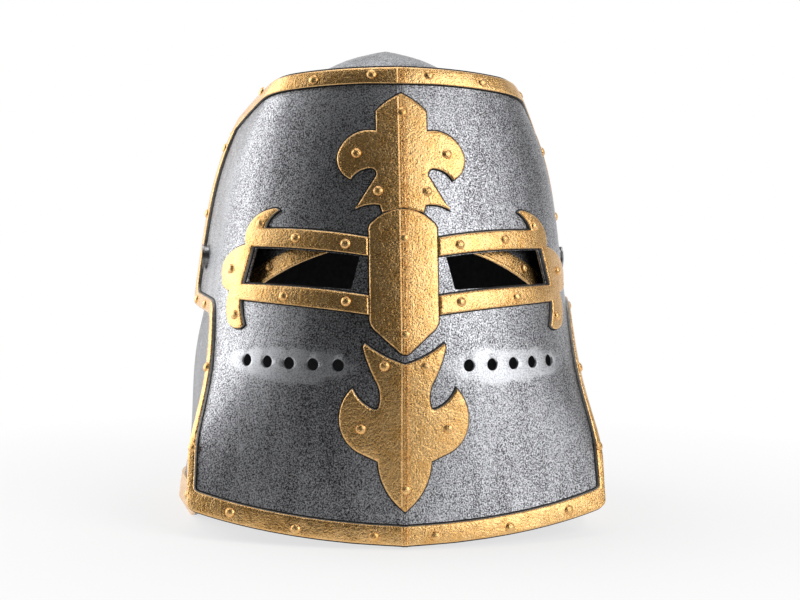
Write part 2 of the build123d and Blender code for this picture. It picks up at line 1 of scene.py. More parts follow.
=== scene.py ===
"""Great helm: an antiqued steel skull and a full-face visor with gilt riveted ornament.

Sizes are in millimetres and the helm faces -Y. Finished meshes are in metres and stand SETBACK further
back, which centres the helm from front to back.
"""

import logging
import math
from collections.abc import Iterable, Iterator
from contextlib import contextmanager
from dataclasses import dataclass, field
from enum import Enum
from typing import ClassVar

import bpy
import numpy as np
from mathutils import Matrix, Vector

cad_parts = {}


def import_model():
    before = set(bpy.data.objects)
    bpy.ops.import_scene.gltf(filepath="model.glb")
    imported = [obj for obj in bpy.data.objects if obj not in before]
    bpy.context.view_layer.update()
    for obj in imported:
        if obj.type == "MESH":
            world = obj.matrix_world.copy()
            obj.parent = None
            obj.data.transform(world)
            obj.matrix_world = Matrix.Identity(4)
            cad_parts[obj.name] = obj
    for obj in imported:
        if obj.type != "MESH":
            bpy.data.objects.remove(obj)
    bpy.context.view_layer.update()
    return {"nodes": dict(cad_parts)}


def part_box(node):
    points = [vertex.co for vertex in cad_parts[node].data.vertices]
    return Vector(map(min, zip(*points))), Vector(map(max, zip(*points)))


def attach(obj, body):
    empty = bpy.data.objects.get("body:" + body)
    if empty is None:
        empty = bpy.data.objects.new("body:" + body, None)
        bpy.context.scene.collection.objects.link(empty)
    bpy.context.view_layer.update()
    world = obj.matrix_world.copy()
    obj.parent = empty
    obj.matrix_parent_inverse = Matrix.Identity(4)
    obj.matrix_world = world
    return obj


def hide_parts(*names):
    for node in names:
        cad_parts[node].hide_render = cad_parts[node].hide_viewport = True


log = logging.getLogger("great_helm")

Point = tuple[float, float]
Triple = tuple[float, float, float]
Seat = tuple[Vector, Vector]
Thing = bpy.types.Object
Node = bpy.types.Node
Material = bpy.types.Material

MM = 0.001
SETBACK = 13.5
CHORD = 1.0
STRIDE = 4.0
BEAD = (0.35, 0.6, 1.3, 2.1)
BLACK: Triple = (0.0, 0.0, 0.0)
WHITE: Triple = (1.0, 1.0, 1.0)


class Body(Enum):
    """The two bodies of the helm that turn against each other."""

    SKULL = "skull"
    VISOR = "visor"


class Slot(Enum):
    """Names of the material slots."""

    SKULL_STEEL = "skull_steel"
    VISOR_STEEL = "visor_steel"
    GILT = "gilt"
    GILT_RIVET = "gilt_rivet"
    DARK_STEEL = "dark_steel"
    PIVOT_STEEL = "pivot_steel"
    LEATHER = "lining_leather"
    CLOTH = "lining_cloth"


class Graph:
    """A node tree and a short way to write its nodes."""

    def __init__(self, owner: Material | bpy.types.World) -> None:
        """Empties the owner's node tree and gives it coordinates.

        Args:
            owner: the material or world.
        """
        owner.use_nodes = True
        self.tree = owner.node_tree
        self.tree.nodes.clear()
        self.place = self.add("ShaderNodeTexCoord")

    def add(self, kind: str, inputs: dict[str | int, object] | None = None, **attributes: object) -> Node:
        """Adds a node.

        Args:
            kind: its type name.
            inputs: what its sockets are fed with.
            attributes: values of its attributes.

        Returns:
            The new node.
        """
        node = self.tree.nodes.new(kind)
        for key, value in attributes.items():
            setattr(node, key, value)
        for socket, value in (inputs or {}).items():
            self.feed(node, socket, value)
        return node

    def feed(self, node: Node, socket: str | int, value: object) -> None:
        """Gives a socket its value.

        Args:
            node: the node that has the socket.
            socket: its name or number.
            value: another node, whose main output is meant, an output, or a plain value.
        """
        if isinstance(value, Node):
            value = value.outputs[2 if value.bl_idname == "ShaderNodeMix" else 0]
        if isinstance(value, bpy.types.NodeSocket):
            self.tree.links.new(value, node.inputs[socket])
        else:
            node.inputs[socket].default_value = value

    def noise(self, scale: float, detail: float, rough: float, stretch: Triple = WHITE) -> Node:
        """A noise pattern that sits still on the object.

        Args:
            scale: how fine the pattern is, per metre.
            detail: octaves.
            rough: weight of the finer octaves.
            stretch: factors along X, Y and Z.

        Returns:
            The noise node.
        """
        mapping = self.add("ShaderNodeMapping", {"Vector": self.place.outputs["Object"], "Scale": stretch})
        return self.add("ShaderNodeTexNoise",
                        {"Vector": mapping, "Scale": scale, "Detail": detail, "Roughness": rough})

    def ramp(self, source: Node, stops: list[tuple[float, Triple]]) -> Node:
        """A colour ramp.

        Args:
            source: the node that drives it.
            stops: places and colours.

        Returns:
            The ramp node.
        """
        node = self.add("ShaderNodeValToRGB", {"Fac": source})
        elements = node.color_ramp.elements
        while len(elements) < len(stops):
            elements.new(0.5)
        for element, (place, colour) in zip(elements, stops):
            element.position = place
            element.color = (*colour, 1.0)
        return node

    def mix(self, share: Node, first: Node | Triple, second: Node | Triple) -> Node:
        """Mixes two colours, each of them a node or a plain colour, by the share of the second."""
        pair = [value if isinstance(value, Node) else (*value, 1.0) for value in (first, second)]
        return self.add("ShaderNodeMix", {0: share, 6: pair[0], 7: pair[1]}, data_type="RGBA")

    def math(self, operation: str, *values: object) -> Node:
        """One step of arithmetic on nodes, outputs or numbers."""
        return self.add("ShaderNodeMath", dict(enumerate(values)), operation=operation)

    def spread(self, value: object, low: float, high: float, to_low: float, to_high: float) -> Node:
        """Maps one range of numbers on another, and stops at its ends."""
        return self.add("ShaderNodeMapRange", dict(enumerate((value, low, high, to_low, to_high))))

    def bump(self, height: Node, strength: float, distance: float, below: Node | None = None) -> Node:
        """A bump.

        Args:
            height: the node that gives the relief.
            strength: its strength.
            distance: its depth in metres.
            below: a bump that it lies on.

        Returns:
            The bump node.
        """
        node = self.add("ShaderNodeBump", {"Strength": strength, "Distance": distance, "Height": height})
        if below is not None:
            self.feed(node, "Normal", below)
        return node


class Surface(Graph):
    """A material with a Principled shader."""

    def __init__(self, name: str) -> None:
        """Starts the material.

        Args:
            name: its name.
        """
        self.material = bpy.data.materials.new(name)
        super().__init__(self.material)
        self.shader = self.add("ShaderNodeBsdfPrincipled")
        self.output = self.add("ShaderNodeOutputMaterial", {"Surface": self.shader})

    def finish(self, inputs: dict[str, object]) -> Material:
        """Feeds the shader.

        Args:
            inputs: what its sockets are fed with.

        Returns:
            The material.
        """
        for socket, value in inputs.items():
            self.feed(self.shader, socket, value)
        return self.material


@dataclass(frozen=True)
class AntiquedSteel:
    """Steel whose pebbled face is rubbed bright, with black left in its hollows."""

    name: str
    bright: Triple = (0.66, 0.67, 0.70)
    dull: Triple = (0.25, 0.25, 0.265)
    black: Triple = (0.045, 0.043, 0.045)
    scuffed: Triple = (0.60, 0.61, 0.64)
    wiped: tuple[Triple, Triple] = ((0.42, 0.43, 0.45), (0.72, 0.73, 0.76))
    pebble: float = 1350.0
    metallic: float = 0.93
    breath_zones: bool = False
    zone_centre: Point = (0.060, 0.0965)
    zone_half: Point = (0.036, 0.0105)

    def build(self) -> Material:
        """Makes the material.

        Returns:
            The material.
        """
        g = Surface(self.name)
        pebble = g.noise(self.pebble, 2.0, 0.55)
        cloud = g.noise(17.0, 3.0, 0.55, (1.0, 1.0, 0.45))
        streak = g.noise(150.0, 4.0, 0.6, (1.0, 1.0, 0.06))
        drift = g.math("MULTIPLY_ADD", cloud, 0.26, -0.13)
        brushed = g.math("MULTIPLY_ADD", streak, 0.14, -0.07)
        grain = g.math("ADD", pebble, g.math("ADD", drift, brushed))
        colour = g.ramp(grain, [(0.36, self.black), (0.47, self.dull), (0.64, self.bright)])
        if self.breath_zones:
            colour = g.mix(self.zone(g), colour, g.ramp(grain, list(zip((0.36, 0.55), self.wiped))))
        worn = g.ramp(g.noise(34.0, 5.0, 0.72, (1.0, 1.0, 0.8)), [(0.655, BLACK), (0.70, WHITE)])
        colour = g.mix(g.math("MULTIPLY", worn, 0.55), colour, self.scuffed)
        height = g.ramp(pebble, [(0.36, BLACK), (0.62, WHITE)])
        return g.finish({
            "Base Color": colour,
            "Metallic": self.metallic,
            "Roughness": g.math("MULTIPLY_ADD", pebble, 0.20, 0.24),
            "Normal": g.bump(height, 0.26, 0.0004),
        })

    def zone(self, g: Surface) -> Node:
        """A soft mask round the two rows of breath holes, where the steel is wiped bright.

        Args:
            g: the material's nodes.

        Returns:
            The node that gives the mask.
        """
        split = g.add("ShaderNodeSeparateXYZ", {"Vector": g.place.outputs["Object"]})
        places = (g.math("ABSOLUTE", split.outputs[0]), split.outputs[2])
        squares = []
        for place, centre, half in zip(places, self.zone_centre, self.zone_half):
            off = g.math("MULTIPLY", g.math("SUBTRACT", place, centre), 1 / half)
            squares.append(g.math("MULTIPLY", off, off))
        wobble = g.math("MULTIPLY_ADD", g.noise(90.0, 2.0, 0.5), 1.4, -0.7)
        mask = g.ramp(g.math("ADD", g.math("ADD", *squares), wobble), [(0.55, WHITE), (1.0, BLACK)])
        return g.math("MULTIPLY", mask, g.math("LESS_THAN", split.outputs[1], 0.0))


@dataclass(frozen=True)
class HammeredGilt:
    """Gold over a gritty, hammered face."""

    name: str
    bright: Triple = (0.93, 0.57, 0.23)
    shade: Triple = (0.82, 0.45, 0.14)
    speck: Triple = (0.16, 0.07, 0.015)
    grit: float = 950.0
    metallic: float = 0.90
    coat: Point = (0.35, 0.25)

    def build(self) -> Material:
        """Makes the material.

        Returns:
            The material.
        """
        g = Surface(self.name)
        grit = g.noise(self.grit, 3.0, 0.6)
        blotch = g.ramp(g.noise(150.0, 3.0, 0.6), [(0.30, BLACK), (0.60, WHITE)])
        specks = g.ramp(grit, [(0.30, WHITE), (0.42, BLACK)])
        tone = g.mix(blotch, self.shade, self.bright)
        fine = g.bump(grit, 0.60, 0.0006)
        return g.finish({
            "Base Color": g.mix(g.math("MULTIPLY", specks, 0.7), tone, self.speck),
            "Metallic": self.metallic,
            "Coat Weight": self.coat[0],
            "Coat Roughness": self.coat[1],
            "Roughness": g.math("MULTIPLY_ADD", grit, 0.16, 0.19),
            "Normal": g.bump(g.noise(360.0, 2.0, 0.5), 0.25, 0.0009, fine),
        })


@dataclass(frozen=True)
class PlainFinish:
    """An even finish with a fine grain."""

    name: str
    colour: Triple
    metallic: float = 0.0
    roughness: float = 0.5
    grain: float = 0.0
    depth: float = 0.0003
    darker: float = 0.6

    def build(self) -> Material:
        """Makes the material.

        Returns:
            The material.
        """
        g = Surface(self.name)
        inputs = {"Base Color": (*self.colour, 1.0), "Metallic": self.metallic, "Roughness": self.roughness}
        if self.grain:
            noise = g.noise(self.grain, 3.0, 0.6)
            dark = tuple(self.darker * c for c in self.colour)
            inputs["Base Color"] = g.mix(g.ramp(noise, [(0.35, BLACK), (0.65, WHITE)]), dark, self.colour)
            inputs["Normal"] = g.bump(noise, 0.4, self.depth)
        return g.finish(inputs)


class Finishes:
    """All finishes of the helm, made once."""

    def __init__(self) -> None:
        """Makes each material."""
        self.visor = AntiquedSteel("antiqued_visor_steel", breath_zones=True).build()
        self.skull = AntiquedSteel("antiqued_skull_steel", (0.44, 0.44, 0.46), (0.20, 0.20, 0.21)).build()
        self.gilt = HammeredGilt("hammered_gilt").build()
        self.side = PlainFinish("bare_edge_steel", (0.42, 0.40, 0.37), 0.6, 0.5, 700.0).build()
        # Near-black for the line round the foot of the gilt plates: partly black wash, partly painted
        # crevice shade.
        self.crevice_wash_and_shade = PlainFinish("black_wash_and_painted_crevice_shade", (0.012, 0.010, 0.009), 0.0, 0.7).build()
        self.dark = PlainFinish("browned_rivet_steel", (0.16, 0.16, 0.17), 0.8, 0.45, 500.0).build()
        self.inside = PlainFinish("dull_inside_steel", (0.055, 0.055, 0.06), 0.5, 0.6, 300.0).build()
        self.pivot = PlainFinish("ground_pivot_steel", (0.48, 0.48, 0.49), 0.9, 0.35, 260.0).build()
        self.leather = PlainFinish("brown_lining_leather", (0.075, 0.045, 0.028), 0.0, 0.62, 240.0,
                                   0.0006).build()
        self.cloth = PlainFinish("black_quilted_cloth", (0.035, 0.033, 0.032), 0.0, 0.9, 900.0,
                                 0.0004).build()


def spline(xs: np.ndarray, ys: np.ndarray, at: np.ndarray) -> np.ndarray:
    """A natural cubic through points.

    Args:
        xs: places, rising.
        ys: one row of values for each place.
        at: places wanted.

    Returns:
        One row of values for each wanted place.
    """
    n = len(xs)
    h = np.diff(xs)
    a = np.eye(n)
    b = np.zeros((n, ys.shape[1]))
    for i in range(1, n - 1):
        a[i, i - 1:i + 2] = (h[i - 1], 2 * (h[i - 1] + h[i]), h[i])
        b[i] = 6 * ((ys[i + 1] - ys[i]) / h[i] - (ys[i] - ys[i - 1]) / h[i - 1])
    m = np.linalg.solve(a, b)
    i = np.clip(np.searchsorted(xs, at) - 1, 0, n - 2)
    t = (at - xs[i])[:, None]
    hi = h[i][:, None]
    slope = (ys[i + 1] - ys[i]) / hi - hi * (2 * m[i] + m[i + 1]) / 6
    return ys[i] + slope * t + m[i] * t**2 / 2 + (m[i + 1] - m[i]) * t**3 / (6 * hi)


@dataclass
class Form:
    """A helm surface in level sections: a keel, a front arc, a corner arc and a straight side.

    Each level holds height, keel reach, half width, front radius and, for the skull, the reach of
    the back. A place on the visor is an arc length from the keel and a height; on the skull the arc
    length is a share of the way round to the middle of the back.
    """

    levels: list[tuple[float, ...]]
    wide: float
    keel_angle: float = math.radians(4.2)
    front_angle: float = math.radians(36.0)
    side_angle: float = math.radians(82.0)
    back_angle: float = math.radians(135.0)
    cut: float = 40.0
    step_z: float = 1.0
    step_s: float = 0.5
    shares: int = 721
    bead_places: tuple[float, ...] = (0.0, *BEAD)
    bead_rises: tuple[float, ...] = (0.35, 0.35, 0.8, 0.8, 0.0)
    samples: tuple[int, int, int, int] = (120, 100, 40, 90)

    def __post_init__(self) -> None:
        """Tabulates the surface."""
        table = np.array(self.levels, float)
        self.closed = table.shape[1] > 4
        self.low, high = table[0, 0], table[-1, 0]
        self.heights = np.arange(self.low, high + 1e-6, self.step_z)
        lines = [self.section(row) for row in spline(table[:, 0], table[:, 1:], self.heights)]
        if self.closed:
            self.grid = np.linspace(0.0, 1.0, self.shares)
        else:
            self.grid = np.arange(0.0, max(line[0][-1] for line in lines) + self.step_s, self.step_s)
        data = []
        for s, *rest in lines:
            t = self.grid * (s[-1] if self.closed else 1.0)
            data.append([np.interp(t, s, values) for values in rest])
        self.data = np.array(data)

    def section(self, row: np.ndarray) -> tuple[np.ndarray, ...]:
        """One level section.

        Args:
            row: keel reach, half width, front radius and perhaps back reach.

        Returns:
            Arc lengths, x, y and the outward direction at dense points of the half section.
        """
        reach, width, radius = row[:3]
        a0, a1, a2 = self.keel_angle, self.front_angle, self.side_angle
        lean = 1 / math.tan(a2)
        front, side, flat, back = self.samples
        x1 = radius * (math.sin(a1) - math.sin(a0))
        y1 = -reach + radius * (math.cos(a0) - math.cos(a1))
        spread = math.sin(a2) - math.sin(a1) - lean * (math.cos(a1) - math.cos(a2))
        corner = (width - x1 - (self.wide - y1) * lean) / spread
        pieces = []

        def arc(centre: Point, r: float, start: float, end: float, count: int) -> None:
            """Adds points and directions of an arc."""
            t = np.linspace(start, end, count)
            pieces.append((centre[0] + r * np.sin(t), centre[1] - r * np.cos(t), np.sin(t), -np.cos(t)))

        arc((-radius * math.sin(a0), -reach + radius * math.cos(a0)), radius, a0, a1, front)
        cx, cy = x1 - corner * math.sin(a1), y1 + corner * math.cos(a1)
        arc((cx, cy), corner, a1, a2, side)
        x2, y2 = cx + corner * math.sin(a2), cy - corner * math.cos(a2)
        end = self.wide if self.closed else self.cut
        t = np.linspace(0, 1, flat)
        pieces.append((x2 + (end - y2) * lean * t, y2 + (end - y2) * t,
                       np.full(flat, math.sin(a2)), np.full(flat, -math.cos(a2))))
        if self.closed:
            a3 = self.back_angle
            x3, depth = x2 + (end - y2) * lean, row[3] - end
            bx, by = math.sin(a3), math.cos(a3) + 1
            sx, sy = math.sin(a2) - math.sin(a3), math.cos(a2) - math.cos(a3)
            r3 = (depth - x3 * by / bx) / (sy - sx * by / bx)
            r4 = (x3 - r3 * sx) / bx
            arc((x3 - r3 * math.sin(a2), end + r3 * math.cos(a2)), r3, a2, a3, back)
            arc((0.0, end + depth - r4), r4, a3, math.pi, back)
        x, y, nx, ny = (np.concatenate([p[i] for p in pieces]) for i in range(4))
        s = np.concatenate([[0.0], np.cumsum(np.hypot(np.diff(x), np.diff(y)))])
        return s, x, y, nx, ny

    def look(self, s: np.ndarray, z: np.ndarray) -> np.ndarray:
        """Reads the surface at places.

        Args:
            s: arc lengths, negative on the left.
            z: heights.

        Returns:
            Four rows: x, y and the two parts of the outward direction.
        """
        fz = np.clip((z - self.low) / self.step_z, 0, len(self.heights) - 1.001)
        fs = np.clip(np.abs(s) / (self.grid[1] - self.grid[0]), 0, len(self.grid) - 1.001)
        iz, js = fz.astype(int), fs.astype(int)
        tz, ts = fz - iz, fs - js
        d = self.data
        low = d[iz, :, js] * (1 - ts)[:, None] + d[iz, :, js + 1] * ts[:, None]
        top = d[iz + 1, :, js] * (1 - ts)[:, None] + d[iz + 1, :, js + 1] * ts[:, None]
        out = (low * (1 - tz)[:, None] + top * tz[:, None]).T
        side = np.where(s < 0, -1.0, 1.0)
        out[0] *= side
        out[2] *= side
        return out

    def wrap(self, places: np.ndarray, bead: bool = True) -> np.ndarray:
        """Lays flat places on the surface.

        Args:
            places: rows of arc length, height and stand above the surface.
            bead: whether the keel carries its raised bead.

        Returns:
            Rows of x, y and z in metres.
        """
        s, z, h = places[:, 0], places[:, 1], places[:, 2]
        x, y, nx, ny = self.look(s, z)
        if bead:
            y = y - np.interp(np.abs(s), self.bead_places, self.bead_rises)
        return np.column_stack([x + nx * h, y + ny * h + SETBACK, z]) * MM

    def from_front(self, x: float, z: float) -> float:
        """Finds a place that is given in the front view.

        Args:
            x: how far it lies from the keel, negative on the left.
            z: its height.

        Returns:
            Its arc length.
        """
        row = self.data[int(round(np.clip((z - self.low) / self.step_z, 0, len(self.heights) - 1)))]
        top = int(np.argmax(row[0]))
        return math.copysign(float(np.interp(abs(x), row[0][:top + 1], self.grid[:top + 1])), x)

    def from_side(self, y: float, z: float) -> float:
        """Finds a place that is given in the side view.

        Args:
            y: how far back it lies.
            z: its height.

        Returns:
            Its arc length.
        """
        k, t = divmod((z - self.low) / self.step_z, 1.0)
        near = [float(np.interp(y, self.data[int(k) + i][1], self.grid)) for i in (0, 1)]
        return near[0] * (1 - t) + near[1] * t

    def keel(self, z: float) -> float:
        """How far back the keel lies at a height."""
        return float(np.interp(z, self.heights, self.data[:, 1, 0]))

    def seat(self, s: float, z: float, h: float) -> Seat:
        """A seat for a rivet.

        Args:
            s: its arc length.
            z: its height.
            h: how far it stands off the surface.

        Returns:
            The place and the way out, in metres.
        """
        e, rise = (0.002 if self.closed else 0.4), 0.6
        places = np.array([[s, z, h], [s + e, z, h], [s - e, z, h], [s, z + rise, h], [s, z - rise, h]])
        p = self.wrap(places, bead=False)
        normal = Vector(np.cross(p[1] - p[2], p[3] - p[4])).normalized()
        return Vector(self.wrap(places[:1])[0]), normal


VISOR_FORM = Form(
    [(-12.0, 145.7, 185.0, 300.0), (26.1, 140.8, 155.5, 246.0), (62.6, 136.8, 132.0, 194.0),
     (100.0, 132.9, 119.0, 150.0), (140.9, 123.3, 111.4, 138.0), (182.7, 111.5, 105.8, 138.0),
     (225.0, 98.8, 93.9, 128.0), (261.0, 85.0, 74.5, 108.0), (287.1, 74.9, 58.2, 80.0)],
    wide=24.0,
)
SKULL_FORM = Form(
    [(-10.9, 138.8, 123.3, 192.0, 117.9), (13.7, 137.0, 120.7, 186.0, 115.2),
     (30.0, 135.9, 118.0, 180.0, 114.0), (60.1, 133.0, 116.0, 165.0, 113.5),
     (99.9, 127.0, 112.5, 135.0, 115.0), (119.0, 122.5, 108.3, 125.0, 115.9),
     (149.1, 113.0, 103.9, 120.0, 117.0), (175.0, 107.0, 98.5, 114.0, 115.0),
     (200.1, 98.4, 91.8, 108.0, 108.5), (218.1, 87.7, 84.8, 100.8, 99.0),
     (235.9, 71.2, 70.7, 85.2, 84.0), (252.0, 49.4, 53.1, 63.8, 64.0),
     (264.0, 24.0, 31.2, 36.5, 41.0), (270.5, 5.0, 13.7, 16.1, 23.6), (273.0, -7.5, 2.2, 2.5, 11.8)],
    wide=10.0,
)


def arc_points(a: Point, b: Point, c: Point) -> list[Point]:
    """Points of the arc from a through b to c, without a.

    Args:
        a: start.
        b: a place on the arc.
        c: end.

    Returns:
        The points, the last of them c.
    """
    (ax, ay), (bx, by), (cx, cy) = a, b, c
    d = 2 * (ax * (by - cy) + bx * (cy - ay) + cx * (ay - by))
    if abs(d) < 1e-6:
        return [c]
    a2, b2, c2 = ax * ax + ay * ay, bx * bx + by * by, cx * cx + cy * cy
    ux = (a2 * (by - cy) + b2 * (cy - ay) + c2 * (ay - by)) / d
    uy = (a2 * (cx - bx) + b2 * (ax - cx) + c2 * (bx - ax)) / d
    r = math.hypot(ax - ux, ay - uy)
    t0, t1, t2 = (math.atan2(py - uy, px - ux) for px, py in (a, b, c))
    turn = (t2 - t0) % (2 * math.pi)
    if (t1 - t0) % (2 * math.pi) > turn:
        turn -= 2 * math.pi
    count = max(2, int(abs(turn) * r / CHORD) + 1)
    return [(ux + r * math.cos(t0 + turn * k / count), uy + r * math.sin(t0 + turn * k / count))
            for k in range(1, count + 1)]


def trace(start: Point, *steps: tuple[float, ...]) -> list[Point]:
    """A path of lines and arcs.

    Args:
        start: the first point.
        steps: an end point, or a point on an arc followed by its end point.

    Returns:
        All points of the path.
    """
    path = [start]
    for move in steps:
        last = path[-1]
        if len(move) == 4:
            path += arc_points(last, move[:2], move[2:])
        else:
            count = max(1, int(math.dist(last, move) / STRIDE))
            path += [(last[0] + (move[0] - last[0]) * k / count, last[1] + (move[1] - last[1]) * k / count)
                     for k in range(1, count + 1)]
    return path


def rounded(path: list[Point], at: Point, radius: float) -> list[Point]:
    """Rounds the corner of a path that is nearest to a place.

    Args:
        path: the points; a path whose ends meet may be rounded anywhere but there.
        at: the place.
        radius: of the rounding.

    Returns:
        The new path.
    """
    i = min(range(1, len(path) - 1), key=lambda k: math.dist(path[k], at))
    before, after = np.subtract(path[i], path[i - 1]), np.subtract(path[i + 1], path[i])
    turn = math.acos(np.clip(before @ after / np.linalg.norm(before) / np.linalg.norm(after), -1, 1))

    def walk(step: int) -> tuple[Point, int]:
        """Finds where the rounding starts on one side.

        Args:
            step: the way along the path, 1 or -1.

        Returns:
            The place, and the number of the next point past it.
        """
        left, k = radius * math.tan(turn / 2), i
        while 0 < k < len(path) - 1 and math.dist(path[k], path[k + step]) < left:
            left -= math.dist(path[k], path[k + step])
            k += step
        if not 0 < k < len(path) - 1:
            return path[k], k
        t = left / math.dist(path[k], path[k + step])
        return tuple(np.add(path[k], np.subtract(path[k + step], path[k]) * t)), k + step

    (a, first), (b, last) = walk(-1), walk(1)
    bend = [tuple((1 - t) ** 2 * np.array(a) + 2 * t * (1 - t) * np.array(path[i]) + t * t * np.array(b))
            for t in np.linspace(0, 1, 9)]
    return path[:first + 1] + bend + path[last:]


def mirrored(half: list[Point]) -> list[Point]:
    """Closes a right half whose ends lie on the keel with its left twin."""
    return half + [(-x, z) for x, z in reversed(half) if abs(x) > 1e-6]


def strip(outer: list[Point], inner: list[Point]) -> list[Point]:
    """A strip across the keel.

    Args:
        outer: its outer edge on the right, from the keel on.
        inner: its inner edge, likewise.

    Returns:
        The outline of the whole strip.
    """
    left_outer = [(-s, z) for s, z in reversed(outer)]
    left_inner = [(-s, z) for s, z in inner]
    path = left_outer + outer[1:] + list(reversed(inner)) + left_inner[1:]
    return [p for k, p in enumerate(path) if math.dist(p, path[k - 1]) > 0.05]


def grown(path: list[Point], by: float) -> list[Point]:
    """Moves a closed outline outwards.

    Args:
        path: the outline.
        by: how far.

    Returns:
        The new outline.
    """
    p = np.array(path)
    area = 0.5 * float(np.sum(p[:, 0] * np.roll(p[:, 1], -1) - np.roll(p[:, 0], -1) * p[:, 1]))
    edge = np.roll(p, -1, axis=0) - p
    edge /= np.maximum(np.linalg.norm(edge, axis=1), 1e-9)[:, None]
    out = np.column_stack([edge[:, 1], -edge[:, 0]]) * (1 if area > 0 else -1)
    mean = out + np.roll(out, 1, axis=0)
    mean /= np.maximum(np.linalg.norm(mean, axis=1), 1e-3)[:, None]
    scale = by / np.clip(np.sum(mean * out, axis=1), 0.45, 1.0)
    return [tuple(v) for v in p + mean * scale[:, None]]


def on_front(form: Form, path: Iterable[Point]) -> list[Point]:
    """Turns a front-view outline into places on a form."""
    return [(form.from_front(x, z), z) for x, z in path]


def deselect_all() -> None:
    """Leaves edit mode and clears the selection."""
    if bpy.context.object and bpy.context.object.mode != "OBJECT":
        bpy.ops.object.mode_set(mode="OBJECT")
    bpy.ops.object.select_all(action="DESELECT")


def pick(obj: Thing) -> None:
    """Makes one object the only one selected, and active.

    Args:
        obj: the object.
    """
    deselect_all()
    obj.select_set(True)
    bpy.context.view_layer.objects.active = obj


@contextmanager
def editing(obj: Thing) -> Iterator[None]:
    """Edit mode on one object, with all of it selected at first.

    Args:
        obj: the object.

    Yields:
        Nothing.
    """
    pick(obj)
    bpy.ops.object.mode_set(mode="EDIT")
    bpy.ops.mesh.select_all(action="SELECT")
    yield
    bpy.ops.object.mode_set(mode="OBJECT")


def named(name: str) -> Thing:
    """Names the active object, such as one that was just added.

    Args:
        name: the name for it and its mesh.

    Returns:
        The object.
    """
    obj = bpy.context.object
    obj.name = obj.data.name = name
    return obj


def joined(name: str, objs: list[Thing]) -> Thing:
    """Joins objects into one.

    Args:
        name: the name of the whole.
        objs: the objects; the first one is kept.

    Returns:
        The whole.
    """
    deselect_all()
    for obj in objs:
        obj.select_set(True)
    bpy.context.view_layer.objects.active = objs[0]
    if len(objs) > 1:
        bpy.ops.object.join()
    return named(name)


def paint(obj: Thing, *finishes: Material) -> None:
    """Gives an object its finishes, in place of any that it has.

    Args:
        obj: the object.
        finishes: one or more.
    """
    obj.data.materials.clear()
    for finish in finishes:
        obj.data.materials.append(finish)


def outward_faces(obj: Thing) -> None:
    """Turns all faces outwards."""
    with editing(obj):
        bpy.ops.mesh.normals_make_consistent(inside=False)


def soften(obj: Thing, degrees: float) -> None:
    """Shades an object smooth up to an angle."""
    pick(obj)
    bpy.ops.object.shade_smooth_by_angle(angle=math.radians(degrees))


def flat_slab(name: str, outline: list[Point], low: float, high: float, bevel: float = 0.0,
              segments: int = 2) -> Thing:
    """A flat plate drawn from its outline.

    Args:
        name: the object's name.
        outline: its corners, as arc length and height.
        low: underside.
        high: upper face.
        bevel: width of the bevel round the upper face.
        segments: steps of that bevel.

    Returns:
        The plate, still flat: X is arc length, Y is height and Z is how far it stands out.
    """
    deselect_all()
    bpy.ops.mesh.primitive_circle_add(vertices=len(outline), radius=1.0, fill_type="NGON")
    obj = named(name)
    for vertex, (s, z) in zip(obj.data.vertices, outline):
        vertex.co = (s, z, low)
    with editing(obj):
        bpy.ops.mesh.extrude_region_move(TRANSFORM_OT_translate={"value": (0, 0, high - low)})
        if bevel:
            bpy.ops.mesh.bevel(offset=bevel, segments=segments, affect="EDGES", clamp_overlap=False)
        bpy.ops.mesh.select_all(action="SELECT")
        bpy.ops.mesh.normals_make_consistent(inside=False)
    return obj


def cylinder(radius: float, depth: float, centre: Triple, vertices: int) -> Thing:
    """An upright cylinder with its place in its mesh.

    Args:
        radius: its radius.
        depth: its height.
        centre: its middle.
        vertices: corners round it.

    Returns:
        The cylinder.
    """
    deselect_all()
    bpy.ops.mesh.primitive_cylinder_add(vertices=vertices, radius=radius, depth=depth, location=centre)
    bpy.ops.object.transform_apply(location=True, rotation=True, scale=True)
    return bpy.context.object


def cut_away(obj: Thing, cutters: list[Thing]) -> None:
    """Cuts an object with others and removes them.

    Args:
        obj: the object.
        cutters: closed objects.
    """
    cutter = joined("cutter", cutters)
    pick(obj)
    tool = obj.modifiers.new("cut", "BOOLEAN")
    tool.operation = "DIFFERENCE"
    tool.object = cutter
    tool.solver = "EXACT"
    bpy.ops.object.modifier_apply(modifier=tool.name)
    bpy.data.objects.remove(cutter)


def score(obj: Thing, across: Iterable[float], up: Iterable[float]) -> None:
    """Divides a flat plate along lines, so that it can be bent smoothly.

    Args:
        obj: the plate.
        across: arc lengths of the upright lines.
        up: heights of the level lines.
    """
    with editing(obj):
        bpy.ops.mesh.quads_convert_to_tris(ngon_method="BEAUTY")
        for lines, normal in ((across, (1, 0, 0)), (up, (0, 1, 0))):
            for place in lines:
                bpy.ops.mesh.select_all(action="SELECT")
                bpy.ops.mesh.bisect(plane_co=Vector(normal) * place, plane_no=normal)
        bpy.ops.mesh.select_all(action="SELECT")
        bpy.ops.mesh.remove_doubles(threshold=0.01)
        bpy.ops.mesh.dissolve_degenerate(threshold=0.01)


def bend_onto(obj: Thing, form: Form, bead: bool = True) -> None:
    """Lays a flat plate on a form.

    Args:
        obj: the plate.
        form: the form.
        bead: whether the plate takes up the bead of the keel.
    """
    mesh = obj.data
    co = np.empty(len(mesh.vertices) * 3)
    mesh.vertices.foreach_get("co", co)
    mesh.vertices.foreach_set("co", form.wrap(co.reshape(-1, 3), bead).ravel())
    mesh.update()


def keel_lines(reach: float, step: float) -> list[float]:
    """Places of upright lines: fine ones at the bead, and even ones beyond it.

    Args:
        reach: how far the lines go, right and left.
        step: distance of the even ones, more than the half width of the bead.

    Returns:
        The places.
    """
    fine = [-place for place in reversed(BEAD)] + list(BEAD)
    count = int(reach / step)
    return fine + [k * step for k in range(-count, count + 1) if k]


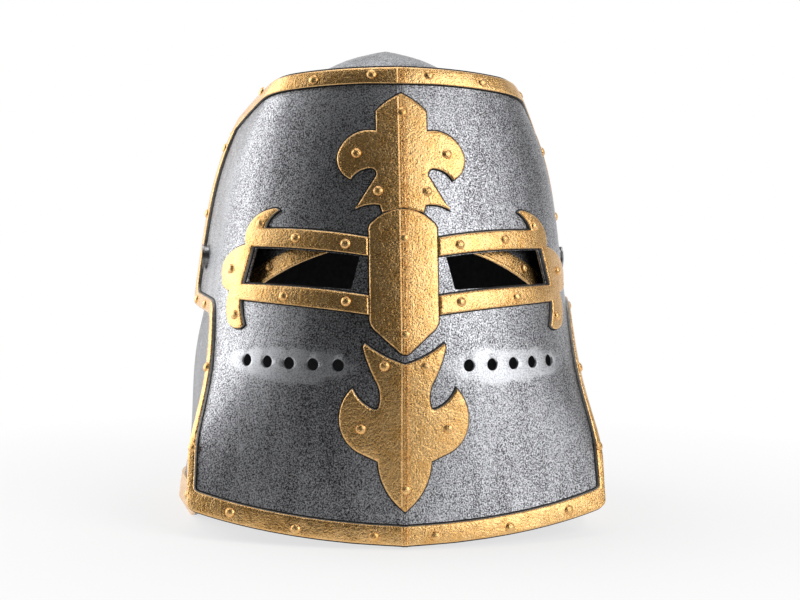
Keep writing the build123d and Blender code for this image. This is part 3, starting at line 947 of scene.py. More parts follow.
def spread(low: float, high: float, step: float) -> list[float]:
    """Even places between two limits."""
    return [low + step * k for k in range(1, int((high - low) / step) + 1)]


def ease_rims(obj: Thing, width: float) -> None:
    """Bevels the upper rims of a flat plate.

    Args:
        obj: the plate.
        width: of the bevel.
    """
    mesh = obj.data
    tool = bpy.context.tool_settings
    with editing(obj):
        bpy.ops.mesh.select_all(action="DESELECT")
    walls = {tuple(sorted(e)) for f in mesh.polygons if abs(f.normal.z) < 0.5 for e in f.edge_keys}
    tops = {tuple(sorted(e)) for f in mesh.polygons if f.normal.z > 0.5 for e in f.edge_keys}
    for edge in mesh.edges:
        edge.select = tuple(sorted(edge.vertices)) in walls & tops
    tool.mesh_select_mode = (False, True, False)
    bpy.ops.object.mode_set(mode="EDIT")
    bpy.ops.mesh.bevel(offset=width, segments=2, affect="EDGES", clamp_overlap=True)
    tool.mesh_select_mode = (True, False, False)
    bpy.ops.object.mode_set(mode="OBJECT")


@dataclass
class Rivets:
    """Domed rivet heads with their shanks."""

    diameter: float = 5.6
    height: float = 1.5
    shank: float = 2.4
    sunk: float = 0.2

    def one(self, seat: Seat, depth: float) -> Thing:
        """Makes one rivet.

        Args:
            seat: where the head sits, and the way out.
            depth: length of the shank.

        Returns:
            The rivet, in place.
        """
        deselect_all()
        bpy.ops.mesh.primitive_uv_sphere_add(segments=20, ring_count=12, radius=1.0)
        obj = bpy.context.object
        with editing(obj):
            bpy.ops.mesh.bisect(plane_co=(0, 0, 0), plane_no=(0, 0, 1), clear_inner=True, use_fill=True)
        stem = cylinder(self.shank / self.diameter, 1.0, (0, 0, 0), 12)
        for vertex in stem.data.vertices:
            vertex.co.z = self.sunk if vertex.co.z > 0 else -depth / self.height
        obj = joined("rivet", [obj, stem])
        turn = seat[1].to_track_quat("Z", "Y").to_matrix().to_4x4()
        size = Matrix.Diagonal((self.diameter / 2 * MM, self.diameter / 2 * MM, self.height * MM, 1.0))
        obj.data.transform(Matrix.Translation(seat[0]) @ turn @ size)
        return obj


@dataclass
class Part:
    """A sub-assembly of one body, whose pieces take the place of CAD nodes."""

    finishes: Finishes
    body: ClassVar[Body]
    form: ClassVar[Form]

    def build(self) -> None:
        """Builds and dresses the pieces."""
        raise NotImplementedError

    def dress(self, obj: Thing, slot: Slot, node: str, smooth: float = 34.0) -> None:
        """Shades a piece and puts it on its body, in place of a CAD node.

        Args:
            obj: the piece.
            slot: its material slot; not used.
            node: the CAD node.
            smooth: the angle up to which it is shaded smooth, in degrees.
        """
        soften(obj, smooth)
        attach(obj, self.body.value)
        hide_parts(node)
        log.info("%s: %d faces", obj.name, len(obj.data.polygons))

    def rivet(self, node: str, seats: list[Seat], depth: float, slot: Slot = Slot.GILT_RIVET) -> None:
        """Builds and dresses a set of rivets.

        Args:
            node: the CAD node that it replaces.
            seats: where the rivets sit.
            depth: length of their shanks.
            slot: their material slot.
        """
        heads = Rivets()
        obj = joined(node + "_domes", [heads.one(seat, depth) for seat in seats])
        paint(obj, self.finishes.dark if slot is Slot.DARK_STEEL else self.finishes.gilt)
        self.dress(obj, slot, node, 40.0)


@dataclass(frozen=True)
class VisorEdge:
    """The visor's edge, drawn in the side view as places of y and z."""

    corner: Point = (-104.5, 15.4)
    neck: Point = (-53.0, 119.0)
    bow: float = 6.0
    slope: float = math.tan(math.radians(18.8))
    rear: float = 26.0
    rear_lean: float = math.tan(math.radians(13.8))
    pivot_height: float = 149.0
    front: float = -160.0
    top: tuple[Point, ...] = ((-86.0, 261.0), (-18.0, 242.55), (46.0, 213.0))
    top_fall: float = 0.45
    corner_round: float = 8.0
    least_round: float = 4.0
    neck_round: float = 9.0
    ear_round: float = 18.0
    halvings: int = 30

    def runs(self, top: float = 0.0, back: float = 0.0, ear: float = 0.0, side: float = 0.0,
             bottom: float = 0.0) -> tuple[list[Point], list[Point]]:
        """The edge on the visor, each part of it drawn in by a width.

        Args:
            top: how far the top edge is drawn in.
            back: the same for the back of the ear.
            ear: the same for the foot of the ear.
            side: the same for the leaning side edge.
            bottom: the same for the bottom edge.

        Returns:
            The run from the keel at the foot round to the top of the ear's back, and the run
            along the top edge from the keel to the same place.
        """
        (corner_y, low), (neck_y, ear_foot) = self.corner, self.neck
        foot, rear = ear_foot + ear, self.rear - back
        lean = (neck_y - corner_y) / (ear_foot - low)
        rise = (bottom + self.slope * side) / (1 + self.slope * lean)
        corner = (lean * rise + corner_y - side, low + rise)
        neck = (lean * (foot - low) + corner_y - side, foot)
        bow = ((corner[0] + neck[0]) / 2 - self.bow, (corner[1] + neck[1]) / 2)
        a, b, c = ((y, z - top) for y, z in self.top)
        over = trace((self.front, a[1]), a, (*b, *c))
        over = [p for p in over if p[0] < rear - self.rear_lean * (p[1] - self.pivot_height)]
        y, z = over[-1]
        y += (rear - self.rear_lean * (z - self.pivot_height) - y) / (1 - self.top_fall * self.rear_lean)
        over.append((y, z - self.top_fall * (y - over[-1][0])))
        start = (self.front, corner[1] - self.slope * (corner[0] - self.front))
        under = trace(start, corner, (*bow, *neck), (rear, foot), (rear, self.pivot_height), over[-1])
        under = rounded(under, corner, max(self.corner_round - side, self.least_round))
        under = rounded(under, neck, self.neck_round + side)
        under = rounded(under, (rear, foot), self.ear_round - ear)
        return self.placed(under), self.placed(over)

    def placed(self, run: list[Point]) -> list[Point]:
        """Turns a run of the side view into places on the visor.

        Args:
            run: the run, which starts in front of the keel.

        Returns:
            The run from the keel on.
        """
        keel, from_side = VISOR_FORM.keel, VISOR_FORM.from_side
        k = max(i for i, (y, z) in enumerate(run) if y < keel(z))
        a, b = np.array(run[k]), np.array(run[k + 1])
        for _ in range(self.halvings):
            middle = (a + b) / 2
            a, b = (middle, b) if middle[0] < keel(middle[1]) else (a, middle)
        return [(0.0, float(b[1]))] + [(from_side(y, z), z) for y, z in run[k + 1:]]


@dataclass
class VisorPart(Part):
    """What the sub-assemblies on the visor share: gilt relief plates and seats for rivets."""

    body: ClassVar[Body] = Body.VISOR
    form: ClassVar[Form] = VISOR_FORM
    edge: VisorEdge = VisorEdge()
    height: float = 2.2
    bevel: float = 1.15
    # Width and height of the black line round each plate's foot, part black wash and part painted crevice
    # shade.
    wash_and_shade_line: float = 0.75
    wash_and_shade_line_height: float = 0.16
    sunk: float = -0.4
    lines: float = 3.0
    levels: float = 7.0
    face_limit: float = 0.55

    def relief(self, name: str, outline: list[Point], node: str) -> None:
        """Builds and dresses a gilt plate with a bare sloped side and a black line round its foot, part
        black wash and part painted crevice shade.

        Args:
            name: the plate's name.
            outline: its corners on the visor.
            node: the CAD node that it replaces.
        """
        top = flat_slab(name, outline, self.sunk, self.height, self.bevel, 3)
        # The black line round the foot is partly black wash and partly painted crevice shade.
        foot = flat_slab(name + "_foot", grown(outline, self.wash_and_shade_line), self.sunk, self.wash_and_shade_line_height)
        paint(top, self.finishes.gilt, self.finishes.side)
        paint(foot, self.finishes.crevice_wash_and_shade)
        for face in top.data.polygons:
            face.material_index = 0 if face.normal.z > self.face_limit else 1
        reach = max(abs(s) for s, _ in outline) + 1.0
        heights = [z for _, z in outline]
        for obj in (top, foot):
            score(obj, keel_lines(reach, self.lines), spread(min(heights), max(heights), self.levels))
            bend_onto(obj, self.form)
        self.dress(joined(name, [top, foot]), Slot.GILT, node)

    def seats(self, places: tuple[Point, ...], side_view: bool = False) -> list[Seat]:
        """Seats of rivets, right and left of the keel or on it.

        Args:
            places: where they lie in the front view, or in the side view.
            side_view: which of the two it is.

        Returns:
            The seats.
        """
        find = self.form.from_side if side_view else self.form.from_front
        return [self.form.seat(side * find(x, z), z, self.height)
                for x, z in places for side in ((1, -1) if side_view or x > 1.0 else (1,))]


@dataclass
class VisorPlate(VisorPart):
    """The visor's plate, with its sights, breath holes and pivot holes."""

    wall: float = 1.5
    ease: float = 0.35
    sight: tuple[Point, ...] = ((23.8, 156.2), (79.8, 158.9), (85.2, 139.4), (28.5, 138.3))
    sight_bows: tuple[Point, Point] = ((50.0, 158.6), (55.0, 139.3))
    sight_round: float = 1.8
    breath: tuple[float, ...] = (35.95, 49.5, 62.3, 74.0, 84.9)
    breath_height: float = 97.5
    breath_radius: float = 3.4
    pivot: Point = (8.0, 149.0)
    pivot_radius: float = 6.55
    through: float = 10.0
    across: tuple[float, float] = (200.0, 4.0)
    up: tuple[float, float, float] = (-2.0, 262.0, 6.0)

    def build(self) -> None:
        """Builds and dresses the plate."""
        under, over = self.edge.runs()
        obj = flat_slab("visor_steel_plate", mirrored(under[:-1] + list(reversed(over))), -self.wall, 0.0)
        cut_away(obj, self.cutters())
        ease_rims(obj, self.ease)
        paint(obj, self.finishes.visor, self.finishes.inside)
        for face in obj.data.polygons:
            face.material_index = 1 if face.normal.z < -0.5 else 0
        score(obj, keel_lines(*self.across), spread(*self.up))
        bend_onto(obj, self.form)
        self.dress(obj, Slot.VISOR_STEEL, "visor_plate")

    def cutters(self) -> list[Thing]:
        """Makes what cuts the holes of the flat plate.

        Returns:
            The cutters of both sides.
        """
        a, b, c, d = self.sight
        slot = trace(a, (*self.sight_bows[0], *b), c, (*self.sight_bows[1], *d), a)[:-1]
        for corner in self.sight:
            slot = rounded(slot, corner, self.sight_round)
        slot = on_front(self.form, slot)
        holes = [(self.form.from_front(x, self.breath_height), self.breath_height, self.breath_radius)
                 for x in self.breath]
        holes.append((self.form.from_side(*self.pivot), self.pivot[1], self.pivot_radius))
        cutters = []
        for side in (1, -1):
            places = [(side * s, z) for s, z in slot]
            cutters.append(flat_slab("sight_cut", places, -self.through / 2, self.through / 2))
            cutters += [cylinder(radius, self.through, (side * s, z, 0.0), 40) for s, z, radius in holes]
        return cutters


@dataclass
class EdgeBands(VisorPart):
    """The gilt bands along the edges of the visor."""

    lines: float = 4.0
    top_width: float = 9.6
    border_start: float = 9.9
    border_widths: tuple[float, ...] = (8.0, 8.0, 4.4, 10.4)

    def build(self) -> None:
        """Builds and dresses both bands."""
        over, below = (self.edge.runs(top)[1] for top in (0.0, self.top_width))
        self.relief("top_band_gilt", strip(over, below), "visor_top_band")
        outer = self.edge.runs(self.border_start)[0]
        inner = self.edge.runs(self.border_start, *self.border_widths)[0]
        self.relief("border_gilt", strip(outer, inner), "visor_border")


@dataclass
class Cross(VisorPart):
    """The fleur-de-lis cross: each plate is drawn in the front view, as a path of its right half."""

    nasal: tuple[tuple[float, ...], ...] = (
        (0.0, 182.5), (10.0, 180.0, 15.5, 176.0), (18.0, 173.5, 18.7, 169.0), (18.7, 124.0),
        (18.0, 119.5, 15.5, 116.5), (3.5, 105.7), (1.8, 104.4, 0.0, 104.0),
    )
    upper: tuple[tuple[float, ...], ...] = (
        (0.0, 183.0), (10.2, 180.6), (11.2, 180.0), (12.5, 184.3), (20.0, 184.0, 26.0, 181.5),
        (14.5, 200.0), (14.6, 203.0, 17.0, 204.3), (22.5, 203.0, 28.0, 198.0),
        (35.0, 206.5, 33.5, 215.2), (27.0, 222.5, 14.0, 225.0), (14.0, 236.0), (8.0, 241.3, 0.0, 246.0),
    )
    lower: tuple[tuple[float, ...], ...] = (
        (0.0, 99.0), (10.0, 102.8, 21.5, 110.0), (22.4, 107.7), (19.0, 97.0, 14.8, 88.0),
        (13.4, 81.5, 14.0, 76.5), (15.2, 74.6, 17.0, 74.8), (23.5, 79.0, 28.0, 85.7),
        (33.5, 77.5, 35.0, 67.5), (31.1, 56.5, 24.0, 50.8), (14.5, 46.6), (10.3, 31.5, 0.0, 20.0),
    )

    def build(self) -> None:
        """Builds and dresses the three plates."""
        for half, name, node in ((self.nasal, "nasal_gilt", "nasal_plate"),
                                 (self.upper, "upper_fleur_gilt", "upper_fleur"),
                                 (self.lower, "lower_fleur_gilt", "lower_fleur")):
            self.relief(name, mirrored(on_front(self.form, trace(*half))), node)


@dataclass
class SightFrames(VisorPart):
    """The gilt bars round each sight, drawn in the front view."""

    path: tuple[tuple[float, ...], ...] = (
        (19.0, 166.8), (45.0, 169.8, 74.0, 170.3), (71.5, 175.5, 66.5, 180.2), (68.0, 181.3, 69.5, 181.3),
        (79.5, 176.0, 84.5, 160.8), (94.0, 154.0, 97.0, 140.0), (96.5, 136.0, 93.3, 134.0),
        (94.8, 126.0, 94.3, 118.0), (90.3, 113.9, 85.6, 116.5), (86.8, 122.5, 87.0, 129.8),
        (55.0, 128.5, 19.0, 125.1), (19.0, 135.5), (50.0, 138.6, 86.0, 139.0), (80.5, 159.7),
        (45.0, 159.3, 19.0, 156.6), (19.0, 166.8),
    )

    def build(self) -> None:
        """Builds and dresses both frames."""
        places = on_front(self.form, trace(*self.path)[:-1])
        self.relief("sight_frame_gilt_left", places, "sight_frame_left")
        twin = [(-s, z) for s, z in reversed(places)]
        self.relief("sight_frame_gilt_right", twin, "sight_frame_right")


@dataclass
class VisorRivets(VisorPart):
    """Every set of rivets on the visor."""

    depth: float = 4.0
    sets: tuple[tuple[str, tuple[Point, ...]], ...] = (
        ("upper_fleur_rivets", ((0.0, 235.5), (24.7, 212.5), (13.3, 192.0))),
        ("nasal_rivets", ((0.0, 166.5), (0.0, 115.0))),
        ("lower_fleur_rivets", ((11.0, 98.0), (23.5, 64.0), (0.0, 32.0))),
        ("top_band_rivets", ((15.7, 256.5), (47.0, 253.4), (73.9, 248.0))),
    )
    sight: tuple[Point, ...] = ((31.0, 163.0), (57.5, 165.5), (76.3, 172.5), (92.0, 146.5),
                                (90.0, 121.5), (64.0, 133.5), (31.0, 132.0))
    foot: tuple[Point, ...] = ((16.7, 6.8), (58.0, 9.4), (93.0, 15.9))
    ear: tuple[Point, ...] = ((-95.3, 48.3), (-74.0, 90.8), (-30.0, 122.9), (7.9, 122.9),
                              (15.8, 174.9), (6.0, 215.1))

    def build(self) -> None:
        """Builds and dresses the sets in turn."""
        for node, places in self.sets:
            self.rivet(node, self.seats(places), self.depth)
        sight = self.seats(self.sight)
        self.rivet("sight_rivets_left", sight[0::2], self.depth)
        self.rivet("sight_rivets_right", sight[1::2], self.depth)
        self.rivet("border_rivets", self.seats(self.foot) + self.seats(self.ear, True), self.depth)


@dataclass(frozen=True)
class SkullFoot:
    """The foot of the skull, which is level behind and rises towards the front."""

    start: float = -45.0
    climb: float = 75.0
    run: float = 261.0 - 45.0
    far: float = -200.0
    below: float = -20.0
    half_width: float = 200.0

    def rise(self, y: float) -> float:
        """How high the foot lies at a place from front to back."""
        return max(0.0, self.start - y) * self.climb / self.run

    def cutter(self) -> Thing:
        """Makes a wedge under the foot.

        Returns:
            The wedge.
        """
        outline = [(self.start, 0.0), (self.far, self.rise(self.far)),
                   (self.far, self.below), (self.start, self.below)]
        obj = flat_slab("foot_cut", outline, -self.half_width, self.half_width)
        for vertex in obj.data.vertices:
            y, z, across = vertex.co
            vertex.co = (across * MM, (y + SETBACK) * MM, z * MM)
        outward_faces(obj)
        return obj


@dataclass(frozen=True)
class FaceOpening:
    """The face opening in the front view: a round top on two upright sides."""

    centre: float = 39.0
    radius: float = 125.0
    half: float = 92.0
    shoulder: float = 12.0
    bottom: float = -8.0
    block: float = 200.0
    block_end: float = -10.0

    def path(self, more: float = 0.0) -> list[Point]:
        """The right half of the opening, from its apex to below the rim.

        Args:
            more: how much wider than the opening it is.

        Returns:
            The places.
        """
        radius, half = self.radius + more, self.half + more
        turn = self.centre + math.sqrt(radius**2 - half**2)
        mid = math.asin(half / radius) / 2
        on_arc = (radius * math.sin(mid), self.centre + radius * math.cos(mid))
        path = trace((0.0, self.centre + radius), (*on_arc, half, turn), (half, self.bottom))
        return rounded(path, (half, turn), self.shoulder + more)

    def cutter(self, half: float | None = None) -> Thing:
        """Makes a block in the shape of the opening, in front of the helm's middle.

        Args:
            half: its half width, where it isn't that of the opening.

        Returns:
            The block.
        """
        obj = flat_slab("face_cut", mirrored(self.path()), 0.0, self.block)
        for vertex in obj.data.vertices:
            x, z, out = vertex.co
            vertex.co = (x * MM, (SETBACK + self.block_end - out) * MM, z * MM)
        outward_faces(obj)
        for vertex in obj.data.vertices:
            vertex.co.x *= (half or self.half) / self.half
        return obj


@dataclass
class SkullPart(Part):
    """What the sub-assemblies on the skull share: rings and domes that follow it, and seats."""

    body: ClassVar[Body] = Body.SKULL
    form: ClassVar[Form] = SKULL_FORM
    opening: FaceOpening = FaceOpening()
    foot: SkullFoot = SkullFoot()
    middle: float = 10.0
    apex: float = 272.0
    tip: float = 0.4
    turn_heights: tuple[float, ...] = (190.0, 218.0, 236.0, 252.0, 264.0, 270.5)
    turn_shares: tuple[float, ...] = (0.0, 0.3, 0.5, 0.75, 0.92, 1.0)

    def shell(self, name: str, heights: np.ndarray, stand: float, wall: float, across: int = 200) -> Thing:
        """Makes a ring or dome that follows the skull.

        Args:
            name: its name.
            heights: levels from the foot up; the last is the apex where it is a dome.
            stand: how far its outer face stands off the skull.
            wall: its thickness, inwards.
            across: faces round it.

        Returns:
            The piece as a closed mesh.
        """
        deselect_all()
        rows = len(heights)
        bpy.ops.mesh.primitive_grid_add(x_subdivisions=across, y_subdivisions=rows - 1, size=2.0)
        obj = named(name)
        co = np.array([v.co for v in obj.data.vertices])
        u = np.round((co[:, 0] + 1) / 2 * across) / across * 2 - 1
        k = np.round((co[:, 1] + 1) / 2 * (rows - 1)).astype(int)
        laid = self.dome(np.column_stack([u, heights[k], np.full(len(u), stand)]))
        if heights[-1] > self.apex:
            top = k == rows - 1
            laid[top] = laid[top].mean(axis=0) + (0.0, 0.0, self.tip * MM)
        obj.data.vertices.foreach_set("co", laid.ravel())
        obj.data.update()
        with editing(obj):
            bpy.ops.mesh.remove_doubles(threshold=0.00005)
            bpy.ops.mesh.normals_make_consistent(inside=False)
        tool = obj.modifiers.new("wall", "SOLIDIFY")
        tool.thickness = wall * MM
        tool.offset = -1.0
        tool.use_even_offset = False
        pick(obj)
        bpy.ops.object.modifier_apply(modifier=tool.name)
        return obj

    def dome(self, places: np.ndarray) -> np.ndarray:
        """Lays places on the skull, and moves them off it along its normal as it turns upwards.

        Args:
            places: rows of arc length, height and stand.

        Returns:
            Rows of x, y and z in metres.
        """
        up = np.interp(places[:, 1], self.turn_heights, self.turn_shares)
        flat = places.copy()
        flat[:, 2] = places[:, 2] * np.sqrt(np.maximum(1 - up**2, 0.0))
        out = self.form.wrap(flat, bead=False)
        out[:, 2] += places[:, 2] * up * MM
        return out

    def around(self, shares: tuple[float, ...], z: float, stand: float) -> list[Seat]:
        """Seats on the right and the left of the skull.

        Args:
            shares: how far round they lie, up to 1 at the back.
            z: their height.
            stand: how far they stand off the skull.

        Returns:
            The seats.
        """
        row = self.form.data[int(round((z - self.form.low) / self.form.step_z))]
        turns = np.arctan2(row[0], -(row[1] - self.middle))
        return [self.form.seat(side * float(np.interp(math.pi * share, turns, self.form.grid)), z, stand)
                for share in shares for side in (1, -1)]


@dataclass
class SkullShell(SkullPart):
    """The raised plate of the skull's sides and back."""

    levels: tuple[float, float, int] = (0.0, 221.0, 48)
    wall: float = 1.5
    axis: float = 5.0
    inward: float = -0.3

    def build(self) -> None:
        """Builds and dresses the shell."""
        obj = self.shell("skull_steel_shell", np.linspace(*self.levels), 0.0, self.wall)
        cut_away(obj, [self.opening.cutter()])
        cut_away(obj, [self.foot.cutter()])
        paint(obj, self.finishes.skull, self.finishes.inside)
        for face in obj.data.polygons:
            out = Vector((face.center.x, face.center.y - (SETBACK + self.axis) * MM, 0.0))
            face.material_index = 1 if face.normal.dot(out) < self.inward * out.length else 0
        self.dress(obj, Slot.SKULL_STEEL, "skull_shell")


@dataclass
class Crown(SkullPart):
    """The raised crown, lapped over the shell."""

    levels: tuple[float, float, int] = (209.0, 262.0, 22)
    top_levels: tuple[float, ...] = (265.0, 267.5, 269.5, 271.0, 272.2, 273.0)
    stand: float = 1.6
    wall: float = 1.5

    def build(self) -> None:
        """Builds and dresses the crown."""
        heights = np.concatenate([np.linspace(*self.levels), self.top_levels])
        obj = self.shell("crown_steel_plate", heights, self.stand, self.wall)
        paint(obj, self.finishes.visor)
        self.dress(obj, Slot.VISOR_STEEL, "crown_plate")


@dataclass
class FaceEdge(SkullPart):
    """The gilt strip round the face opening, with a lip at its edge."""

    strips: tuple[tuple[str, float, float], ...] = (
        ("face_edge_band", 9.0, 1.3), ("face_edge_lip", 1.8, 2.1))
    sunk: float = 0.05
    bevel: float = 0.5
    half_girth: float = 340.0
    across: tuple[float, ...] = tuple(4.0 * k for k in range(-32, 33))
    up: tuple[float, float, float] = (0.0, 174.0, 6.0)
    settling: int = 12

    def build(self) -> None:
        """Builds and dresses the strip."""
        inner = self.path(0.0)
        pieces = []
        for name, width, height in self.strips:
            places = [(s * self.half_girth, z) for s, z in strip(self.path(width), inner)]
            obj = flat_slab(name, places, self.sunk, height, self.bevel)
            score(obj, self.across, spread(*self.up))
            for vertex in obj.data.vertices:
                vertex.co.x /= self.half_girth
            bend_onto(obj, self.form, bead=False)
            paint(obj, self.finishes.gilt)
            pieces.append(obj)
        self.dress(joined("face_edge_gilt", pieces), Slot.GILT, "face_edge", 36.0)

    def path(self, more: float) -> list[Point]:
        """The right half of the opening on the skull, down to the foot.

        Args:
            more: how much wider than the opening it is.

        Returns:
            The places.
        """
        x, foot = self.opening.half + more, 0.0
        for _ in range(self.settling):
            s = self.form.from_front(x, foot)
            foot = self.foot.rise(float(self.form.look(np.array([s]), np.array([foot]))[1][0]))
        path = [(a, b) for a, b in self.opening.path(more) if b > foot]
        return on_front(self.form, path + [(x, foot)])


@dataclass
class RimBand(SkullPart):
    """The gilt band round the foot of the skull."""

    levels: tuple[float, ...] = (0.0, 0.5, 4.0, 8.0, 12.0, 14.5, 15.0)
    stand: float = 1.9
    wall: float = 1.8
    half_gap: float = 101.3

    def build(self) -> None:
        """Builds and dresses the band."""
        obj = self.shell("rim_gilt_band", np.array(self.levels), self.stand, self.wall)
        for vertex in obj.data.vertices:
            vertex.co.z += self.foot.rise(vertex.co.y / MM - SETBACK) * MM
        cut_away(obj, [self.opening.cutter(self.half_gap)])
        paint(obj, self.finishes.gilt)
        self.dress(obj, Slot.GILT, "rim_band")


@dataclass
class Lining(SkullPart):
    """The quilted ring and crown pad, stitched in upright channels."""

    ring_levels: tuple[float, float, int] = (166.0, 208.0, 20)
    pad_levels: tuple[float, float, int] = (208.6, 262.0, 26)
    pad_top: tuple[float, ...] = (266.0, 269.0, 271.2, 272.6, 273.0)
    ring_channels: int = 28
    pad_channels: int = 16
    stand: float = -2.0
    wall: float = 9.0
    across: int = 320
    swell: float = 4.2
    fullness: float = 0.6
    fade: float = 5.0
    past_apex: float = 60.0
    heart: float = 190.0
    inner_heart: float = 150.0

    def build(self) -> None:
        """Builds and dresses the ring and the pad."""
        ring = self.padding("lining_ring_quilted", np.linspace(*self.ring_levels), self.ring_channels)
        paint(ring, self.finishes.leather)
        self.dress(ring, Slot.LEATHER, "lining_ring", 60.0)
        heights = np.concatenate([np.linspace(*self.pad_levels), self.pad_top])
        pad = self.padding("crown_pad_quilted", heights, self.pad_channels)
        paint(pad, self.finishes.cloth)
        self.dress(pad, Slot.CLOTH, "crown_pad", 60.0)

    def padding(self, name: str, heights: np.ndarray, channels: int) -> Thing:
        """Makes a quilted pad inside the skull.

        Args:
            name: its name.
            heights: its levels from the foot up.
            channels: quilted channels on each side.

        Returns:
            The pad as a closed mesh.
        """
        obj = self.shell(name, heights, self.stand, self.wall, self.across)
        mesh = obj.data
        co = np.empty(len(mesh.vertices) * 3)
        mesh.vertices.foreach_get("co", co)
        co = co.reshape(-1, 3)
        back = (SETBACK + self.middle) * MM
        around = np.arctan2(co[:, 0], -(co[:, 1] - back))
        puff = np.abs(np.sin(around / math.pi * channels * math.pi / 2)) ** self.fullness
        z, low, high = co[:, 2] / MM, heights[0], heights[-1]
        if high > self.apex:
            high += self.past_apex
        ends = np.clip(np.minimum(z - low, high - z) / self.fade, 0.0, 1.0) ** 0.5
        way = np.array([0.0, back, self.heart * MM]) - co
        way /= np.linalg.norm(way, axis=1)[:, None]
        swell = self.swell * puff * ends * self.inner_face(co) * MM
        mesh.vertices.foreach_set("co", (co + way * swell[:, None]).ravel())
        mesh.update()
        return obj

    def inner_face(self, co: np.ndarray) -> np.ndarray:
        """Tells the inner face of a pad from its outer face.

        Args:
            co: the corners of the pad, those of one face first.

        Returns:
            1 for each corner of the inner face, and 0 for the others.
        """
        half = len(co) // 2
        centre = np.array([0.0, (SETBACK + self.middle) * MM, self.inner_heart * MM])
        radius = np.linalg.norm(co - centre, axis=1)
        second = radius[:half].mean() >= radius[half:].mean()
        return (np.arange(len(co)) >= half) == second


@dataclass
class SkullRivets(SkullPart):
    """Every set of rivets on the skull."""

    rows: tuple[tuple[str, tuple[float, ...], float, float, float, Slot], ...] = (
        ("crown_rivets", (0.10, 0.30, 0.56, 0.74, 0.92), 215.0, 1.6, 3.2, Slot.DARK_STEEL),
        ("lining_rivets", (0.14, 0.70, 0.90), 187.0, 0.0, 5.5, Slot.DARK_STEEL),
        ("rim_rivets", (0.42, 0.66, 0.90), 7.5, 1.9, 3.3, Slot.GILT_RIVET),
    )
    edge: tuple[Point, ...] = ((33.1, 166.0), (71.8, 148.4))
    edge_stand: float = 1.3
    edge_depth: float = 2.8

    def build(self) -> None:
        """Builds and dresses the sets in turn."""
        for node, shares, height, stand, depth, slot in self.rows:
            self.rivet(node, self.around(shares, height, stand), depth, slot)
        edge = [self.form.seat(side * s, z, self.edge_stand)
                for s, z in on_front(self.form, self.edge) for side in (1, -1)]
        self.rivet("face_edge_rivets", edge, self.edge_depth)


@dataclass
class Pivots(SkullPart):
    """Domed, slotted bolts, and the CAD washers, bosses, nuts and bushes in the same finish."""

    nodes: dict[str, Thing] = field(default_factory=dict)
    kept: tuple[str, ...] = ("pivot_washer", "pivot_boss", "pivot_nut", "pivot_bush")
    place: Point = (8.0, 149.0)
    head: tuple[float, float] = (8.5, 3.6)
    head_bevel: float = 1.6
    stem: tuple[float, float] = (4.0, 15.9)
    stem_centre: float = -7.9
    driver: tuple[float, float] = (9.0, 0.7)
    driver_depth: tuple[float, float] = (2.5, 5.0)

    def build(self) -> None:
        """Builds and dresses the bolts, and paints what stays of the CAD."""
        for side, label in ((1, "left"), (-1, "right")):
            for node in self.kept:
                paint(self.nodes[f"{node}_{label}"], self.finishes.pivot)
            obj = self.bolt(f"pivot_bolt_domed_{label}")
            near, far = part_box(f"pivot_bolt_{label}")
            out = max(abs(near[0]), abs(far[0])) - self.head[1] * MM
            turn = Matrix(((0, 0, side), (0, 1, 0), (1, 0, 0))).to_4x4()
            y, z = self.place
            place = Matrix.Translation((side * out, (y + SETBACK) * MM, z * MM))
            obj.data.transform(place @ turn @ Matrix.Scale(MM, 4))
            outward_faces(obj)
            paint(obj, self.finishes.pivot)
            self.dress(obj, Slot.PIVOT_STEEL, f"pivot_bolt_{label}")

    def bolt(self, name: str) -> Thing:
        """Makes a bolt that stands upright.

        Args:
            name: its name.

        Returns:
            The bolt, in millimetres, with the underside of its head at the origin.
        """
        (radius, height), (long, wide) = self.head, self.driver
        obj = cylinder(radius, height, (0, 0, height / 2), 64)
        for face in obj.data.polygons:
            face.select = face.normal.z > 0.9
        bpy.ops.object.mode_set(mode="EDIT")
        bpy.ops.mesh.select_mode(type="FACE")
        bpy.ops.mesh.bevel(offset=self.head_bevel, segments=4, affect="EDGES")
        bpy.ops.mesh.select_mode(type="VERT")
        bpy.ops.object.mode_set(mode="OBJECT")
        slot = [(-long, -wide), (long, -wide), (long, wide), (-long, wide)]
        cut_away(obj, [flat_slab("driver_slot", slot, *self.driver_depth)])
        return joined(name, [obj, cylinder(*self.stem, (0, 0, self.stem_centre), 40)])


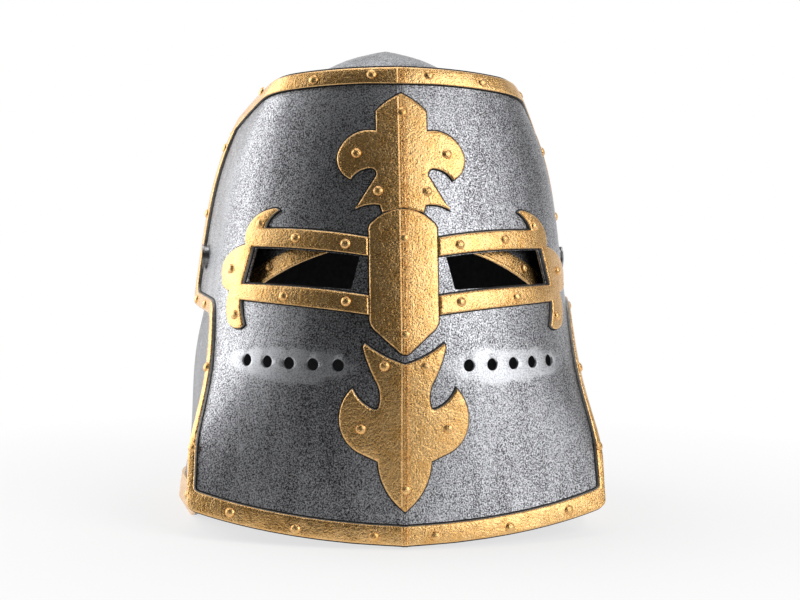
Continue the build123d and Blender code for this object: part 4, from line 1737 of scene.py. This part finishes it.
@dataclass
class Studio:
    """Floor, lamps, white surround and camera."""

    lamps: tuple[tuple[str, Triple, float, float, float], ...] = (
        ("right_lamp", (0.95, -0.90, 0.70), 1.1, 12.0, 0.13),
        ("left_lamp", (-1.20, 0.42, 0.50), 1.5, 14.5, 0.12),
        ("top_lamp", (0.0, 0.1, 1.3), 0.9, 5.0, 0.1),
    )
    eye: Triple = (-0.09620, -1.08147, 0.20849)
    forward: Triple = (0.09599, 0.99239, -0.07710)
    right: Triple = (0.99537, -0.09538, 0.01155)
    up: Triple = (-0.00410, 0.07785, 0.99696)
    lens: float = 81.0
    floor: float = 12.0
    floor_tones: tuple[Triple, Triple] = ((0.10, 0.10, 0.10), (0.85, 0.85, 0.85))
    dim_until: tuple[float, ...] = (-0.50, -0.18, 0.0, 1.0)
    glow: tuple[float, ...] = (0.16, 0.42, 0.72, 1.0)
    surround: tuple[float, ...] = (-0.1, 0.9, 0.03, 0.95)

    def build(self) -> None:
        """Sets up the room."""
        self.build_floor()
        self.build_world()
        for lamp in self.lamps:
            self.build_lamp(*lamp)
        self.build_camera()

    @staticmethod
    def build_lamp(name: str, place: Triple, size: float, power: float, height: float) -> None:
        """Hangs a square soft lamp.

        Args:
            name: its name.
            place: where it hangs.
            size: its side.
            power: its power in watts.
            height: the height on the helm's axis that it is aimed at.
        """
        light = bpy.data.lights.new(name, "AREA")
        light.shape = "SQUARE"
        light.size = size
        light.energy = power
        obj = bpy.data.objects.new(name, light)
        obj.location = place
        way = Vector((0.0, 0.0, height)) - Vector(place)
        obj.rotation_euler = way.to_track_quat("-Z", "Y").to_euler()
        bpy.context.scene.collection.objects.link(obj)

    def build_floor(self) -> None:
        """Lays a pale floor that runs into the white surround and keeps a soft shadow.

        It is dark in front of the helm for every ray but the camera's, as in a dim room.
        """
        deselect_all()
        bpy.ops.mesh.primitive_plane_add(size=self.floor)
        floor = named("studio_floor")
        g = Surface("white_paper")
        place = g.place.outputs["Object"]
        far = g.add("ShaderNodeVectorMath", {0: place}, operation="LENGTH").outputs["Value"]
        split = g.add("ShaderNodeSeparateXYZ", {"Vector": place})
        rays = g.add("ShaderNodeLightPath").outputs
        camera = rays["Is Camera Ray"]
        paper = g.spread(split.outputs[1], *self.dim_until)
        passed_on = g.math("MAXIMUM", rays["Is Glossy Ray"], rays["Is Transmission Ray"])
        seen = g.math("MAXIMUM", camera, g.math("MULTIPLY", passed_on, paper))
        glow = g.math("MULTIPLY", g.spread(far, *self.glow), seen)
        tone = g.mix(g.math("MAXIMUM", camera, paper), *self.floor_tones)
        paint(floor, g.finish({"Roughness": 0.9, "Specular IOR Level": 0.0, "Base Color": tone}))
        white = g.add("ShaderNodeEmission")
        g.feed(g.output, "Surface", g.add("ShaderNodeMixShader", {0: glow, 1: g.shader, 2: white}))

    def build_world(self) -> None:
        """Makes a white surround behind and beside the helm, and a dim room on the camera's side."""
        world = bpy.data.worlds.new("white_surround")
        bpy.context.scene.world = world
        g = Graph(world)
        white = {"Color": (1, 1, 1, 1)}
        split = g.add("ShaderNodeSeparateXYZ", {"Vector": g.place.outputs["Generated"]})
        side = g.spread(split.outputs[1], *self.surround)
        shown = g.add("ShaderNodeBackground", white)
        lit = g.add("ShaderNodeBackground", white | {"Strength": side})
        camera = g.add("ShaderNodeLightPath").outputs["Is Camera Ray"]
        mix = g.add("ShaderNodeMixShader", {0: camera, 1: lit, 2: shown})
        g.add("ShaderNodeOutputWorld", {"Surface": mix})

    def build_camera(self) -> None:
        """Sets up the camera of the photograph."""
        camera = bpy.data.cameras.new("camera")
        camera.lens = self.lens
        camera.sensor_width = 36.0
        camera.clip_start = 0.01
        camera.dof.use_dof = False
        obj = bpy.data.objects.new("camera", camera)
        turn = Matrix((self.right, self.up, tuple(-v for v in self.forward))).transposed()
        obj.matrix_world = Matrix.Translation(self.eye) @ turn.to_4x4()
        bpy.context.scene.collection.objects.link(obj)
        bpy.context.scene.camera = obj
        bpy.context.scene.view_settings.view_transform = "Standard"


def main() -> None:
    """Builds the helm and the room round it."""
    logging.basicConfig(level=logging.INFO)
    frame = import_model()
    finishes = Finishes()
    for part in (VisorPlate, EdgeBands, Cross, SightFrames, VisorRivets,
                 SkullShell, Crown, FaceEdge, RimBand, Lining, SkullRivets):
        part(finishes).build()
    Pivots(finishes, nodes=frame["nodes"]).build()
    Studio().build()


if __name__ == "__main__":
    main()
